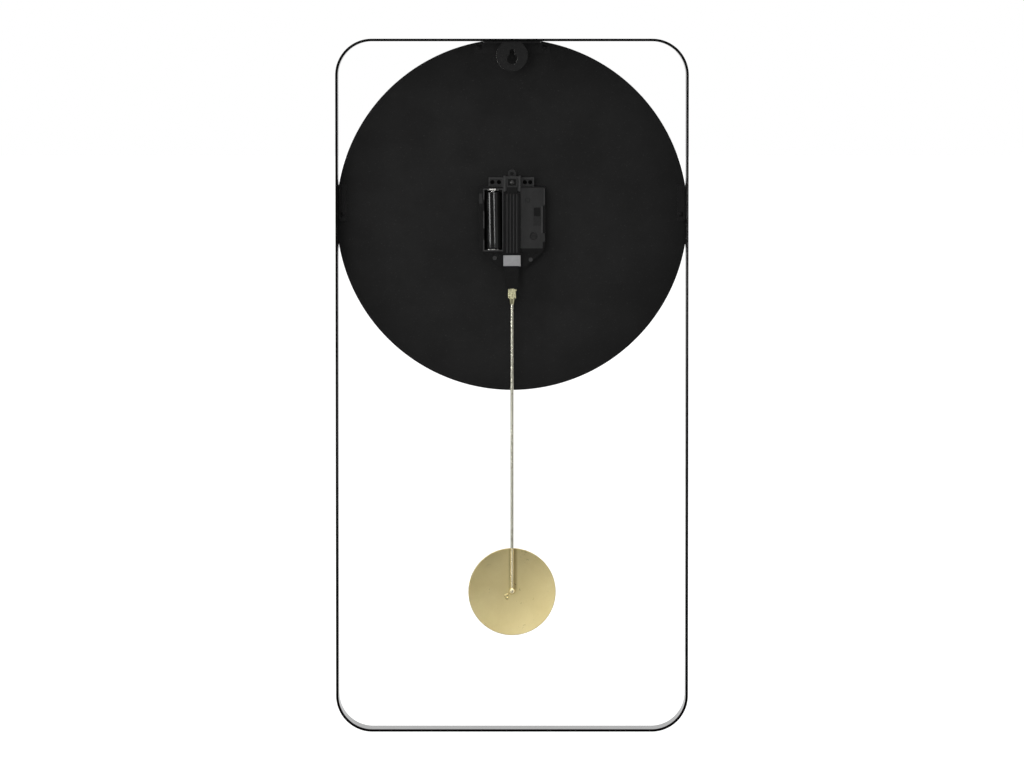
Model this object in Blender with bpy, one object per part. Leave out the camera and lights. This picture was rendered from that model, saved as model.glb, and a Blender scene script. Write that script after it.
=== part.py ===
"""A pendulum wall clock, as an assembly of its real pieces.

The origin is the top of the hanger's keyhole slot, on the wall plane. The dial faces -Y, the wall is the
plane Y = 0, and +Z is up. Dimensions are in millimetres and become metres where a mesh or a place is made.
Inside the movement, "depth" is the distance from the back of the dial towards the wall.
"""

from math import atan2, cos, pi, radians, sin

import bmesh
import bpy
from mathutils import Vector
from mathutils.geometry import tessellate_polygon

MM = 0.001
GAP = 0.3  # between pieces that rest on each other
RUNNING = 0.08  # radial clearance of a shaft in its bore
ROUND = 16  # sides of a small turned piece
OVER = 1.0  # how far a cutter reaches past what it cuts
SMOOTH_UNDER = radians(35)

# The hoop: one flat steel bar on edge, bent to a rectangle with round corners.
FRAME_WIDTH = 305.0
FRAME_HEIGHT = 600.0
FRAME_DEPTH = 30.0
FRAME_STOCK = 2.0
FRAME_CORNER = 31.5
FRAME_TOP = 9.0  # above the keyhole slot's seat
CORNER_STEPS = 12

# The dial: a sheet disc on the hoop's front edge, as wide as the hoop.
DIAL_RADIUS = FRAME_WIDTH / 2
DIAL_SHEET = 1.2
DIAL_HOLE = 5.0
DIAL_STEPS = 96
DIAL_BACK = -FRAME_DEPTH - GAP
DIAL_CENTRE = FRAME_TOP - DIAL_RADIUS

# The keyhole hanger and the brackets, all of one sheet.
SHEET = 1.2
HANGER_INSET = 0.8
KEYHOLE_RADIUS = 4.5
KEYHOLE_DROP = 8.4
SLOT_RADIUS = 2.2
LOBE_RADIUS = 13.5
LOBE_DROP = 5.5
NECK_HALF = 8.0
HANGER_LEG_HALF = 25.0
HANGER_LEG_REACH = 15.0
STUD_RADIUS = 1.4
STUD_HEAD = 2.2
STUD_HOLE = STUD_RADIUS + 0.2
STUD_SPACING = 57.0
TOP_BRACKET_HALF = 33.0
TOP_BRACKET_DROP = 10.5
TOP_BRACKET_CHAMFER = 6.0
STUD_DROP = 5.6  # below the top bracket's upper face
SIDE_BRACKET_LOW = -5.7
SIDE_BRACKET_HIGH = 26.5
SIDE_BRACKET_REACH = 6.8
SIDE_STUD_INSET = 2.7
SIDE_STUD_Z = 0.6
BRACKET_LEG = 11.0

# The hands and the hour markers.
HOUR_HAND_LENGTH = 78.0
MINUTE_HAND_LENGTH = 116.0
HOUR_SHOWN = 10
MINUTE_SHOWN = 10
MARKER_RADIUS = 131.0
MARKER_SIZE = (18.0, 2.6)
QUARTER_MARKER_SIZE = (26.0, 4.0)
MARKER_SHEET = 0.8
HOUR_HAND_DEPTHS = (-6.8, -6.2)
MINUTE_HAND_DEPTHS = (-8.9, -8.4)
CANNON_RADIUS = 1.65
HOUR_PIPE_RADIUS = 2.5

# The movement's fixing to the dial, and its case.
THREAD_RADIUS = 4.7
BUSHING_RADIUS = 4.2
CASE_HALF = 29.0
CASE_TOP = 24.7
CASE_SIDE_END = -25.0
CASE_SHOULDER = -31.9
CASE_SHOULDER_HALF = 26.8
CASE_FOOT = -45.5
CASE_FOOT_HALF = 11.5
CASE_WALL = 1.5
SHELL_FLOOR = 1.5  # depth of the front shell's inner face
CASE_SPLIT = 9.0
SKIRT_DEPTH = 12.0
SKIRT_ROOF = 1.2
COVER_DEPTH = 15.0
CASE_DEPTH = 16.3

# The battery and its bay.
CELL_RADIUS = 7.25
CELL_LENGTH = 49.2
CELL_BOTTOM = -29.2
CELL_X = 16.2
CELL_DEPTH = SHELL_FLOOR + GAP + CELL_RADIUS
BAY_HALF = 7.8
BAY_LOW = -30.4
BAY_HIGH = 22.0
BAY_WALL = 0.9

# The gears. A stage is (pinion teeth, wheel teeth, module).
MOTION_MODULE = 0.4
CANNON_TEETH = 10
MINUTE_TEETH = 30
MINUTE_PINION = 8
HOUR_TEETH = 32
SETTING_TEETH = 20
CENTRE_STAGE = (6, 48, 0.2833)
THIRD_STAGE = (6, 45, 0.3)
SECONDS_STAGE = (6, 30, 0.44)
ROTOR_STAGE = (6, 36, 0.3733)
SETTING_ANGLE = radians(224.0)
THIRD_ANGLE = radians(160.0)
SECONDS_ANGLE = radians(120.0)
INTERMEDIATE_ANGLE = radians(217.0)
ROTOR_ANGLE = radians(96.0)
PIVOT_RADIUS = 0.5
STUD_PIN = 0.6
CENTRE_PIN = 0.8
MOTION_TOP = 5.4
ROTOR_RADIUS = 2.6
PIVOT_FRONT = 0.9
BRIDGE_DEPTH = 11.2
BRIDGE_BACK = 12.0

# The pendulum, measured down from its pivot.
PENDULUM_PIVOT = 28.2  # above the hands' arbor
PIN_RADIUS = 1.0
PIN_FRONT = 13.0
ARM_DEPTH = 17.0
ARM_BACK = 19.0
ROD_DEPTH = 18.5
HOOK_DEPTH = 16.4
HOOK_DROP = 87.2
CROSS_BAR_RADIUS = 0.9
MAGNET_HALF = 7.5
MAGNET_TOP = -62.9
MAGNET_LOW = -72.2
MAGNET_BACK = 20.4
ROD_OFFSET = ROD_DEPTH - HOOK_DEPTH
ROD_TOP = -13.8  # below the cross bar
ROD_RADIUS = 1.25
BOB_DROP = 355.0
BOB_RADIUS = 38.0
BOB_STEPS = 64
BOB_SHEET = 1.0
BOB_DISH = 1.2
BOSS_RADIUS = 2.9

# Colour, metallic, roughness.
MATERIALS = {
    "black_steel": ((0.018, 0.018, 0.019), 0.0, 0.45),
    "black_plastic": ((0.022, 0.022, 0.023), 0.0, 0.4),
    "case_plastic": ((0.05, 0.05, 0.052), 0.0, 0.38),
    "white_plastic": ((0.72, 0.71, 0.66), 0.0, 0.4),
    "gold": ((0.62, 0.5, 0.26), 0.9, 0.36),
    "brass": ((0.7, 0.54, 0.24), 1.0, 0.3),
    "nickel": ((0.66, 0.66, 0.64), 1.0, 0.3),
    "copper": ((0.62, 0.27, 0.12), 1.0, 0.35),
    "board_green": ((0.02, 0.12, 0.06), 0.0, 0.5),
    "magnet_grey": ((0.35, 0.35, 0.36), 0.8, 0.4),
    "cell_wrap": ((0.03, 0.03, 0.032), 0.3, 0.25),
}


def clear_scene():
    for obj in list(bpy.data.objects):
        bpy.data.objects.remove(obj, do_unlink=True)


def make_material(name):
    colour, metallic, roughness = MATERIALS[name]
    material = bpy.data.materials.new(name)
    material.use_nodes = True
    shader = material.node_tree.nodes["Principled BSDF"]
    shader.inputs["Base Color"].default_value = (*colour, 1.0)
    shader.inputs["Metallic"].default_value = metallic
    shader.inputs["Roughness"].default_value = roughness
    material.diffuse_color = (*colour, 1.0)
    return material


def make_group(name, place, parent=None):
    """An empty that holds the pieces of one body, at the body's axis."""
    group = bpy.data.objects.new(name, None)
    group.location = Vector(place) * MM
    group.parent = parent
    bpy.context.scene.collection.objects.link(group)
    return group


def make_object(name, mesh_points, faces, parent, place):
    mesh = bpy.data.meshes.new(name)
    mesh.from_pydata([Vector(point) * MM for point in mesh_points], [], faces)
    shape = bmesh.new()
    shape.from_mesh(mesh)
    bmesh.ops.recalc_face_normals(shape, faces=shape.faces)
    shape.to_mesh(mesh)
    shape.free()
    obj = bpy.data.objects.new(name, mesh)
    obj.parent = parent
    obj.location = Vector(place) * MM
    bpy.context.scene.collection.objects.link(obj)
    return obj


class Piece:
    """One named solid, with helper solids that are joined to it or cut from it."""

    def __init__(self, name, shape, material, parent=None, place=(0, 0, 0)):
        self.name = name
        self.parent = parent
        self.place = place
        self.count = 0
        self.obj = make_object(name, *shape, parent, place)
        self.obj.data.materials.append(materials[material])
        self.obj.data.shade_smooth()
        self.obj.data.set_sharp_from_angle(angle=SMOOTH_UNDER)

    def boolean(self, operation, shape):
        self.count += 1
        helper = make_object(f"{self.name}.helper{self.count}", *shape, self.parent, self.place)
        helper.hide_render = True
        helper.display_type = "WIRE"
        modifier = self.obj.modifiers.new(helper.name, "BOOLEAN")
        modifier.operation = operation
        modifier.object = helper
        return self

    def join(self, shape):
        return self.boolean("UNION", shape)

    def cut(self, shape):
        return self.boolean("DIFFERENCE", shape)


def slab(outline, low, high, holes=()):
    """A flat piece: an outline in X and Z, with holes, extruded along Y from low to high."""
    loops = [outline, *holes]
    flat = [point for loop in loops for point in loop]
    triangles = tessellate_polygon([[Vector((x, 0, z)) for x, z in loop] for loop in loops])
    count = len(flat)
    points = [(x, low, z) for x, z in flat] + [(x, high, z) for x, z in flat]
    faces = [tuple(triangle) for triangle in triangles]
    faces += [tuple(index + count for index in reversed(triangle)) for triangle in triangles]
    start = 0
    for loop in loops:
        for step in range(len(loop)):
            here = start + step
            there = start + (step + 1) % len(loop)
            faces.append((here, there, there + count, here + count))
        start += len(loop)
    return points, faces


def block(low, high):
    outline = [(low[0], low[2]), (high[0], low[2]), (high[0], high[2]), (low[0], high[2])]
    return slab(outline, low[1], high[1])


def turned(profile, centre=(0, 0, 0), axis="Y", steps=ROUND, tube=False):
    """A piece turned about an axis: (radius, height) along the profile, closed on itself for a tube."""
    points = []
    rings = []
    for radius, height in profile:
        around = steps if radius > 0 else 1
        rings.append([len(points) + step for step in range(around)])
        for step in range(around):
            angle = 2 * pi * (step + 0.5) / steps
            across = radius * cos(angle)
            up = radius * sin(angle)
            spots = {"X": (height, across, up), "Y": (across, height, up), "Z": (across, up, height)}
            points.append(tuple(Vector(spots[axis]) + Vector(centre)))
    pairs = list(zip(rings, rings[1:]))
    if tube:
        pairs.append((rings[-1], rings[0]))
    faces = []
    for low, high in pairs:
        for step in range(steps):
            corners = [low[step % len(low)], low[(step + 1) % len(low)]]
            corners += [high[(step + 1) % len(high)], high[step % len(high)]]
            faces.append(tuple(dict.fromkeys(corners)))
    return points, faces


def rod_shape(radius, low, high, centre=(0, 0, 0), axis="Y", steps=ROUND):
    return turned([(0, low), (radius, low), (radius, high), (0, high)], centre, axis, steps)


def arc(centre, radius, start, end, steps):
    angles = [start + (end - start) * step / steps for step in range(steps + 1)]
    return [(centre[0] + radius * cos(angle), centre[1] + radius * sin(angle)) for angle in angles]


def circle(centre, radius, steps=ROUND):
    return arc(centre, radius, 0, 2 * pi * (steps - 1) / steps, steps - 1)


def round_rectangle(left, right, low, high, radius, steps):
    outline = []
    for quarter, (x, z) in enumerate(((right, high), (left, high), (left, low), (right, low))):
        centre = (x - radius if x == right else x + radius, z - radius if z == high else z + radius)
        outline += arc(centre, radius, quarter * pi / 2, (quarter + 1) * pi / 2, steps)
    return outline


def inset(outline, distance):
    """The outline of a convex shape, drawn anticlockwise, moved inwards."""
    result = []
    for index, point in enumerate(outline):
        here = Vector(point)
        before = (here - Vector(outline[index - 1])).normalized()
        after = (Vector(outline[(index + 1) % len(outline)]) - here).normalized()
        inward = Vector((-before.y, before.x)) + Vector((-after.y, after.x))
        result.append(tuple(here + inward * (distance / (1 + before.dot(after)))))
    return result


def gear(teeth, module, phase):
    """A gear's outline about its own centre, with one tooth at the phase angle."""
    radius = teeth * module / 2
    tip = radius + 0.85 * module
    root = radius - 1.15 * module
    half_root = 0.24 * 2 * pi / teeth
    half_tip = 0.09 * 2 * pi / teeth
    outline = []
    for tooth in range(teeth):
        middle = phase + tooth * 2 * pi / teeth
        for reach, turn in ((root, -half_root), (tip, -half_tip), (tip, half_tip), (root, half_root)):
            outline.append((reach * cos(middle + turn), reach * sin(middle + turn)))
    return outline


def meshing(teeth, phase, other_teeth, direction):
    """The phase at which another gear, in this direction from the first one, has a gap where it has a tooth."""
    return direction + pi + pi / other_teeth - (phase - direction) * teeth / other_teeth


def step_from(place, angle, distance):
    return (place[0] + distance * cos(angle), place[1] + distance * sin(angle))


def distance_of(teeth, other_teeth, module):
    return (teeth + other_teeth) * module / 2


# Where the arbors stand, in X and Z from the hands' arbor.
ARBOR = (0.0, 0.0)
MINUTE_AT = step_from(ARBOR, SETTING_ANGLE, distance_of(CANNON_TEETH, MINUTE_TEETH, MOTION_MODULE))
IDLER_AT = step_from(MINUTE_AT, SETTING_ANGLE, distance_of(MINUTE_TEETH, SETTING_TEETH, MOTION_MODULE))
KNOB_AT = step_from(IDLER_AT, SETTING_ANGLE, distance_of(SETTING_TEETH, SETTING_TEETH, MOTION_MODULE))
THIRD_AT = step_from(ARBOR, THIRD_ANGLE, distance_of(*CENTRE_STAGE))
SECONDS_AT = step_from(THIRD_AT, SECONDS_ANGLE, distance_of(*THIRD_STAGE))
INTERMEDIATE_AT = step_from(SECONDS_AT, INTERMEDIATE_ANGLE, distance_of(*SECONDS_STAGE))
ROTOR_AT = step_from(INTERMEDIATE_AT, ROTOR_ANGLE, distance_of(*ROTOR_STAGE))
POSTS = ((-25.6, 15.2), (-3.5, 15.2), (-14.0, -6.0))


def make_frame():
    left = -FRAME_WIDTH / 2
    low = FRAME_TOP - FRAME_HEIGHT
    outer = round_rectangle(left, -left, low, FRAME_TOP, FRAME_CORNER, CORNER_STEPS)
    inner = round_rectangle(
        left + FRAME_STOCK,
        -left - FRAME_STOCK,
        low + FRAME_STOCK,
        FRAME_TOP - FRAME_STOCK,
        FRAME_CORNER - FRAME_STOCK,
        CORNER_STEPS,
    )
    Piece("frame_hoop", slab(outer, -FRAME_DEPTH, 0, [inner]), "black_steel")


def make_hanger():
    """A sheet bracket under the top bar, with a lobe that holds the keyhole."""
    top = FRAME_TOP - FRAME_STOCK - GAP
    back = -HANGER_INSET
    lobe_steps, hole_steps, slot_steps = 24, 20, 12
    lean = atan2((LOBE_RADIUS**2 - NECK_HALF**2) ** 0.5, NECK_HALF)
    lobe = arc((0, -LOBE_DROP), LOBE_RADIUS, pi - lean, 2 * pi + lean, lobe_steps)
    outline = lobe + [(NECK_HALF, top), (-NECK_HALF, top)]
    hanger = Piece("hanger_plate", slab(outline, back - SHEET, back), "black_steel")
    leg_low = (-HANGER_LEG_HALF, back - HANGER_LEG_REACH, top - SHEET)
    hanger.join(block(leg_low, (HANGER_LEG_HALF, back - SHEET / 2, top)))
    widen = atan2(SLOT_RADIUS, (KEYHOLE_RADIUS**2 - SLOT_RADIUS**2) ** 0.5)
    keyhole = arc((0, -KEYHOLE_DROP), KEYHOLE_RADIUS, pi / 2 + widen, 5 * pi / 2 - widen, hole_steps)
    keyhole += arc((0, -SLOT_RADIUS), SLOT_RADIUS, 0, pi, slot_steps)
    hanger.cut(slab(keyhole, back - SHEET - OVER, back + OVER))


def make_dial_stud(name, x, z):
    """A stud standing on the dial's back, through a bracket, with its head on the bracket."""
    foot = 0.05
    seat = SHEET + 2 * GAP
    rim, shoulder, dome = seat + 0.5, seat + 1.0, seat + 1.15
    profile = [(0, foot), (STUD_RADIUS, foot), (STUD_RADIUS, seat), (STUD_HEAD, seat), (STUD_HEAD, rim)]
    profile += [(STUD_HEAD * 0.7, shoulder), (0, dome)]
    Piece(name, turned(profile), "nickel", dial, (x, 0, z))


def make_top_bracket():
    """A sheet angle under the top bar, which the dial is fastened to."""
    top = FRAME_TOP - FRAME_STOCK - GAP - DIAL_CENTRE
    half, low = TOP_BRACKET_HALF, top - TOP_BRACKET_DROP
    fold_half, corner = half - TOP_BRACKET_CHAMFER, top - TOP_BRACKET_CHAMFER
    outline = [(-half, corner), (-half, low), (half, low), (half, corner)]
    outline += [(fold_half, top), (-fold_half, top)]
    studs = [(way * STUD_SPACING / 2, top - STUD_DROP) for way in (-1, 1)]
    holes = [circle(stud, STUD_HOLE) for stud in studs]
    bracket = Piece("top_bracket", slab(outline, GAP, GAP + SHEET, holes), "black_steel", dial)
    bracket.join(block((-fold_half, GAP + SHEET / 2, top - SHEET), (fold_half, BRACKET_LEG, top)))
    for side, stud in zip(("left", "right"), studs):
        make_dial_stud(f"dial_stud_top_{side}", *stud)


def make_side_bracket(side, way):
    """A small sheet angle on one of the hoop's uprights."""
    low, high = SIDE_BRACKET_LOW, SIDE_BRACKET_HIGH
    corner, fold_inset = 1.5, 2.0
    outer = FRAME_WIDTH / 2 - FRAME_STOCK - GAP
    inner = outer - SIDE_BRACKET_REACH
    stud = (way * (inner + SIDE_STUD_INSET), SIDE_STUD_Z)
    outline = round_rectangle(*sorted((way * outer, way * inner)), low, high, corner, 3)
    shape = slab(outline, GAP, GAP + SHEET, [circle(stud, STUD_HOLE)])
    bracket = Piece(f"side_bracket_{side}", shape, "black_steel", dial)
    fold_left, fold_right = sorted((way * outer, way * (outer - SHEET)))
    fold_low = (fold_left, GAP + SHEET / 2, low + fold_inset)
    bracket.join(block(fold_low, (fold_right, BRACKET_LEG, high - fold_inset)))
    make_dial_stud(f"dial_stud_side_{side}", *stud)


def make_dial():
    profile = [(DIAL_HOLE, 0), (DIAL_RADIUS, 0), (DIAL_RADIUS, -DIAL_SHEET), (DIAL_HOLE, -DIAL_SHEET)]
    Piece("dial_disc", turned(profile, steps=DIAL_STEPS, tube=True), "black_steel", dial)


def make_markers():
    """Twelve applied batons, longer at the quarters."""
    front = -DIAL_SHEET - GAP
    for hour in range(1, 13):
        length, width = QUARTER_MARKER_SIZE if hour % 3 == 0 else MARKER_SIZE
        shape = block((-width / 2, front - MARKER_SHEET, -length / 2), (width / 2, front, length / 2))
        angle = hour * pi / 6
        place = (MARKER_RADIUS * sin(angle), 0, MARKER_RADIUS * cos(angle))
        marker = Piece(f"hour_marker_{hour:02d}", shape, "gold", dial, place)
        marker.obj.rotation_euler = (0, angle, 0)


def make_hand(name, length, widths, depths, angle):
    """A slim blade that narrows to its tip. Its widths are half the blade, and the hub's and the bore's radius."""
    half, hub, bore = widths
    front, back = depths
    hub_proud = 0.1
    tail = length * 0.16
    tail_half, tip_half = half * 0.8, half * 0.45
    blade = [(-tail_half, -tail), (tail_half, -tail), (half, 0), (tip_half, length - half)]
    blade += [(0, length), (-tip_half, length - half), (-half, 0)]
    hand = Piece(name, slab(blade, front, back), "gold", hands)
    hand.join(rod_shape(hub, front - hub_proud, back + hub_proud))
    hand.cut(rod_shape(bore, front - OVER, back + OVER))
    hand.obj.rotation_euler = (0, angle, 0)
    for modifier in hand.obj.modifiers:
        modifier.object.rotation_euler = (0, angle, 0)


def make_hands():
    minute_angle = MINUTE_SHOWN * pi / 30
    hour_angle = HOUR_SHOWN * pi / 6 + minute_angle / 12
    hour_half, hour_hub = 3.0, 5.0
    minute_half, minute_hub = 2.3, 4.0
    hour_bore = HOUR_PIPE_RADIUS + RUNNING
    minute_bore = CANNON_RADIUS + RUNNING
    hour = (hour_half, hour_hub, hour_bore)
    minute = (minute_half, minute_hub, minute_bore)
    make_hand("hour_hand", HOUR_HAND_LENGTH, hour, HOUR_HAND_DEPTHS, hour_angle)
    make_hand("minute_hand", MINUTE_HAND_LENGTH, minute, MINUTE_HAND_DEPTHS, minute_angle)
    cap_back, cap_rim, cap_front, cap_radius = -9.4, -9.6, -11.0, 2.5
    cap = [(0, cap_front), (1.2, cap_front + 0.2), (2.1, cap_front + 0.7)]
    cap += [(cap_radius, cap_rim), (cap_radius, cap_back), (0, cap_back)]
    Piece("hand_cap", turned(cap), "gold", hands)


def make_bushing():
    """The threaded bushing that clamps the movement to the dial, with its washer and nut."""
    bore = HOUR_PIPE_RADIUS + RUNNING
    front, back = -5.2, SHELL_FLOOR - 0.1
    profile = [(bore, front), (THREAD_RADIUS, front), (THREAD_RADIUS, 0), (BUSHING_RADIUS, 0)]
    profile += [(BUSHING_RADIUS, back), (bore, back)]
    Piece("threaded_bushing", turned(profile, tube=True), "brass", movement)
    over_thread = THREAD_RADIUS + 0.1
    washer_radius, washer_front, washer_back = 8.6, -2.3, -1.5
    washer = [(over_thread, washer_front), (washer_radius, washer_front)]
    washer += [(washer_radius, washer_back), (over_thread, washer_back)]
    Piece("mounting_washer", turned(washer, tube=True), "nickel", movement)
    nut_radius, nut_front, nut_back = 8.0, -4.7, washer_front - GAP
    hexagon = circle(ARBOR, nut_radius, 6)
    nut = slab(hexagon, nut_front, nut_back, [circle(ARBOR, over_thread)])
    Piece("mounting_nut", nut, "brass", movement)


def case_outline(with_foot):
    right = [(CASE_SHOULDER_HALF, CASE_SHOULDER), (CASE_HALF, CASE_SIDE_END), (CASE_HALF, CASE_TOP)]
    left = [(-x, z) for x, z in reversed(right)]
    foot = [(-CASE_FOOT_HALF, CASE_FOOT), (CASE_FOOT_HALF, CASE_FOOT)] if with_foot else []
    return right + left + foot


def make_front_shell():
    outline = case_outline(True)
    shell = Piece("movement_front_shell", slab(outline, GAP, CASE_SPLIT), "case_plastic", movement)
    shell.cut(slab(inset(outline, CASE_WALL), SHELL_FLOOR, CASE_SPLIT + OVER))
    root = SHELL_FLOOR - 0.4
    post_radius = 1.3
    for x, z in POSTS:
        shell.join(rod_shape(post_radius, root, BRIDGE_DEPTH - GAP, (x, 0, z)))
    for x, z in (MINUTE_AT, IDLER_AT):
        shell.join(rod_shape(STUD_PIN, root, MOTION_TOP, (x, 0, z)))
    shell.cut(rod_shape(BUSHING_RADIUS + RUNNING, GAP - OVER, SHELL_FLOOR + OVER))
    for x, z in (THIRD_AT, SECONDS_AT, INTERMEDIATE_AT, ROTOR_AT, KNOB_AT):
        shell.cut(rod_shape(STUD_PIN + RUNNING, PIVOT_FRONT - 0.2, SHELL_FLOOR + OVER, (x, 0, z)))


def motor_box_outline(margin):
    """The raised box over the motor, whose outer side steps in and out."""
    inner, wide, slim = -7.3 - margin, -28.5 + margin, -26.6 + margin
    top, low = 23.8 - margin, -28.8 + margin
    step_top, step_low, step_foot = 8.3 + margin, -16.0 - margin, -23.0 + margin
    outline = [(inner, low), (inner, top), (wide, top), (wide, step_top), (slim, step_top)]
    outline += [(slim, step_low), (wide, step_low), (wide, step_foot), (slim, step_foot), (slim, low)]
    return outline


def shape_cover():
    """The back cover's own shell: a skirt, a higher middle and the raised motor box, hollowed from inside."""
    full = case_outline(True)
    upper = inset(case_outline(False), 0.2)
    start = CASE_SPLIT + GAP
    motor_wall = 1.4
    cover = Piece("movement_back_cover", slab(full, start, SKIRT_DEPTH), "case_plastic", movement)
    cover.join(slab(upper, SKIRT_DEPTH - OVER, COVER_DEPTH))
    cover.join(slab(motor_box_outline(0), COVER_DEPTH - OVER, CASE_DEPTH))
    cover.cut(slab(inset(full, CASE_WALL), start - OVER, SKIRT_DEPTH - SKIRT_ROOF))
    cover.cut(slab(inset(upper, CASE_WALL), start - 2 * OVER, COVER_DEPTH - CASE_WALL))
    cover.cut(slab(motor_box_outline(CASE_WALL), start - 3 * OVER, CASE_DEPTH - motor_wall))
    return cover


def add_battery_bay(cover):
    left, right = CELL_X - BAY_HALF, CELL_X + BAY_HALF
    front = SHELL_FLOOR + GAP
    low = (left - BAY_WALL, front, BAY_LOW - BAY_WALL)
    cover.join(block(low, (right + BAY_WALL, CASE_DEPTH, BAY_HIGH + BAY_WALL)))
    cover.cut(block((left, front - OVER, BAY_LOW), (right, CASE_DEPTH + OVER, BAY_HIGH)))


def add_pendulum_yoke(cover):
    """The block that carries the pendulum's pivot pin, with a cheek at each side and a lifting loop above."""
    start = CASE_SPLIT + GAP
    cheek_in, cheek_out, cheek_low, cheek_rise = 5.7, 7.2, 20.6, 6.0
    half, low, rise = cheek_out + 0.4, 21.0, 5.3
    cover.join(block((-half, start, low), (half, CASE_DEPTH - 0.2, PENDULUM_PIVOT + rise)))
    for way in (-1, 1):
        left, right = sorted((way * cheek_in, way * cheek_out))
        cheek_high = PENDULUM_PIVOT + cheek_rise
        cover.join(block((left, CASE_DEPTH - OVER, cheek_low), (right, ARM_BACK + 1, cheek_high)))
    loop_z = PENDULUM_PIVOT + 7.6
    loop_radius, loop_hole = 3.6, 1.7
    loop_front, loop_back = 12.0, 13.6
    cover.join(slab(circle((0, loop_z), loop_radius), loop_front, loop_back))
    cover.cut(rod_shape(loop_hole, loop_front - OVER, loop_back + OVER, (0, 0, loop_z)))
    cover.cut(rod_shape(PIN_RADIUS + RUNNING, PIN_FRONT - 0.2, CASE_DEPTH + OVER, (0, 0, PENDULUM_PIVOT)))


def add_tabs(cover):
    """The two fixing tabs above the case, each with two holes."""
    start = CASE_SPLIT + GAP
    low, high, sheet = CASE_TOP - 1.2, 32.5, 1.6
    hole_radius, hole_z = 1.6, 28.6
    for left, right, holes in ((7.9, 20.3, (11.3, 16.9)), (-19.0, -7.9, (-15.8, -11.2))):
        cover.join(block((left, start, low), (right, start + sheet, high)))
        for x in holes:
            cover.cut(rod_shape(hole_radius, start - OVER, start + sheet + OVER, (x, 0, hole_z)))


def cut_motor_box(cover):
    """The well of the setting knob, a long recess and a small blind hole, in the motor box."""
    well_radius, well_depth = 3.1, 3.0
    top = CASE_DEPTH + OVER
    cover.cut(rod_shape(well_radius, CASE_DEPTH - well_depth, top, (KNOB_AT[0], 0, KNOB_AT[1])))
    recess_low, recess_high = (-24.1, CASE_DEPTH - 0.7, -10.7), (-17.4, top, 5.7)
    cover.cut(block(recess_low, recess_high))
    cover.cut(rod_shape(1.1, CASE_DEPTH - 0.8, top, (-12.9, 0, 12.6)))


def make_back_cover():
    cover = shape_cover()
    add_battery_bay(cover)
    add_pendulum_yoke(cover)
    add_tabs(cover)
    cut_motor_box(cover)


def make_battery():
    nub, nub_radius = 1.2, 2.75
    soft, nub_soft = 0.6, 0.3
    top = CELL_LENGTH
    profile = [(0, 0), (CELL_RADIUS - soft, 0), (CELL_RADIUS, soft), (CELL_RADIUS, top - soft)]
    profile += [(CELL_RADIUS - soft, top), (nub_radius, top), (nub_radius, top + nub - nub_soft)]
    profile += [(nub_radius - nub_soft, top + nub), (0, top + nub)]
    place = (CELL_X, CELL_DEPTH, CELL_BOTTOM)
    Piece("battery", turned(profile, axis="Z", steps=24), "cell_wrap", movement, place)
    half, near, far, sheet = 5.0, 4.0, 14.5, 0.4
    left, right = CELL_X - half, CELL_X + half
    plus_z = CELL_BOTTOM + top + nub + GAP
    plus = block((left, near, plus_z), (right, far, plus_z + sheet))
    Piece("battery_contact_plus", plus, "nickel", movement)
    minus_z = BAY_LOW + GAP
    minus = block((left, near, minus_z), (right, far, minus_z + sheet))
    contact = Piece("battery_contact_minus", minus, "nickel", movement)
    spring_low, spring_high = BAY_LOW + sheet, CELL_BOTTOM - GAP
    spring = [(0, spring_low), (3.4, spring_low), (2.2, spring_high), (0, spring_high)]
    contact.join(turned(spring, (CELL_X, CELL_DEPTH, 0), axis="Z"))


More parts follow.
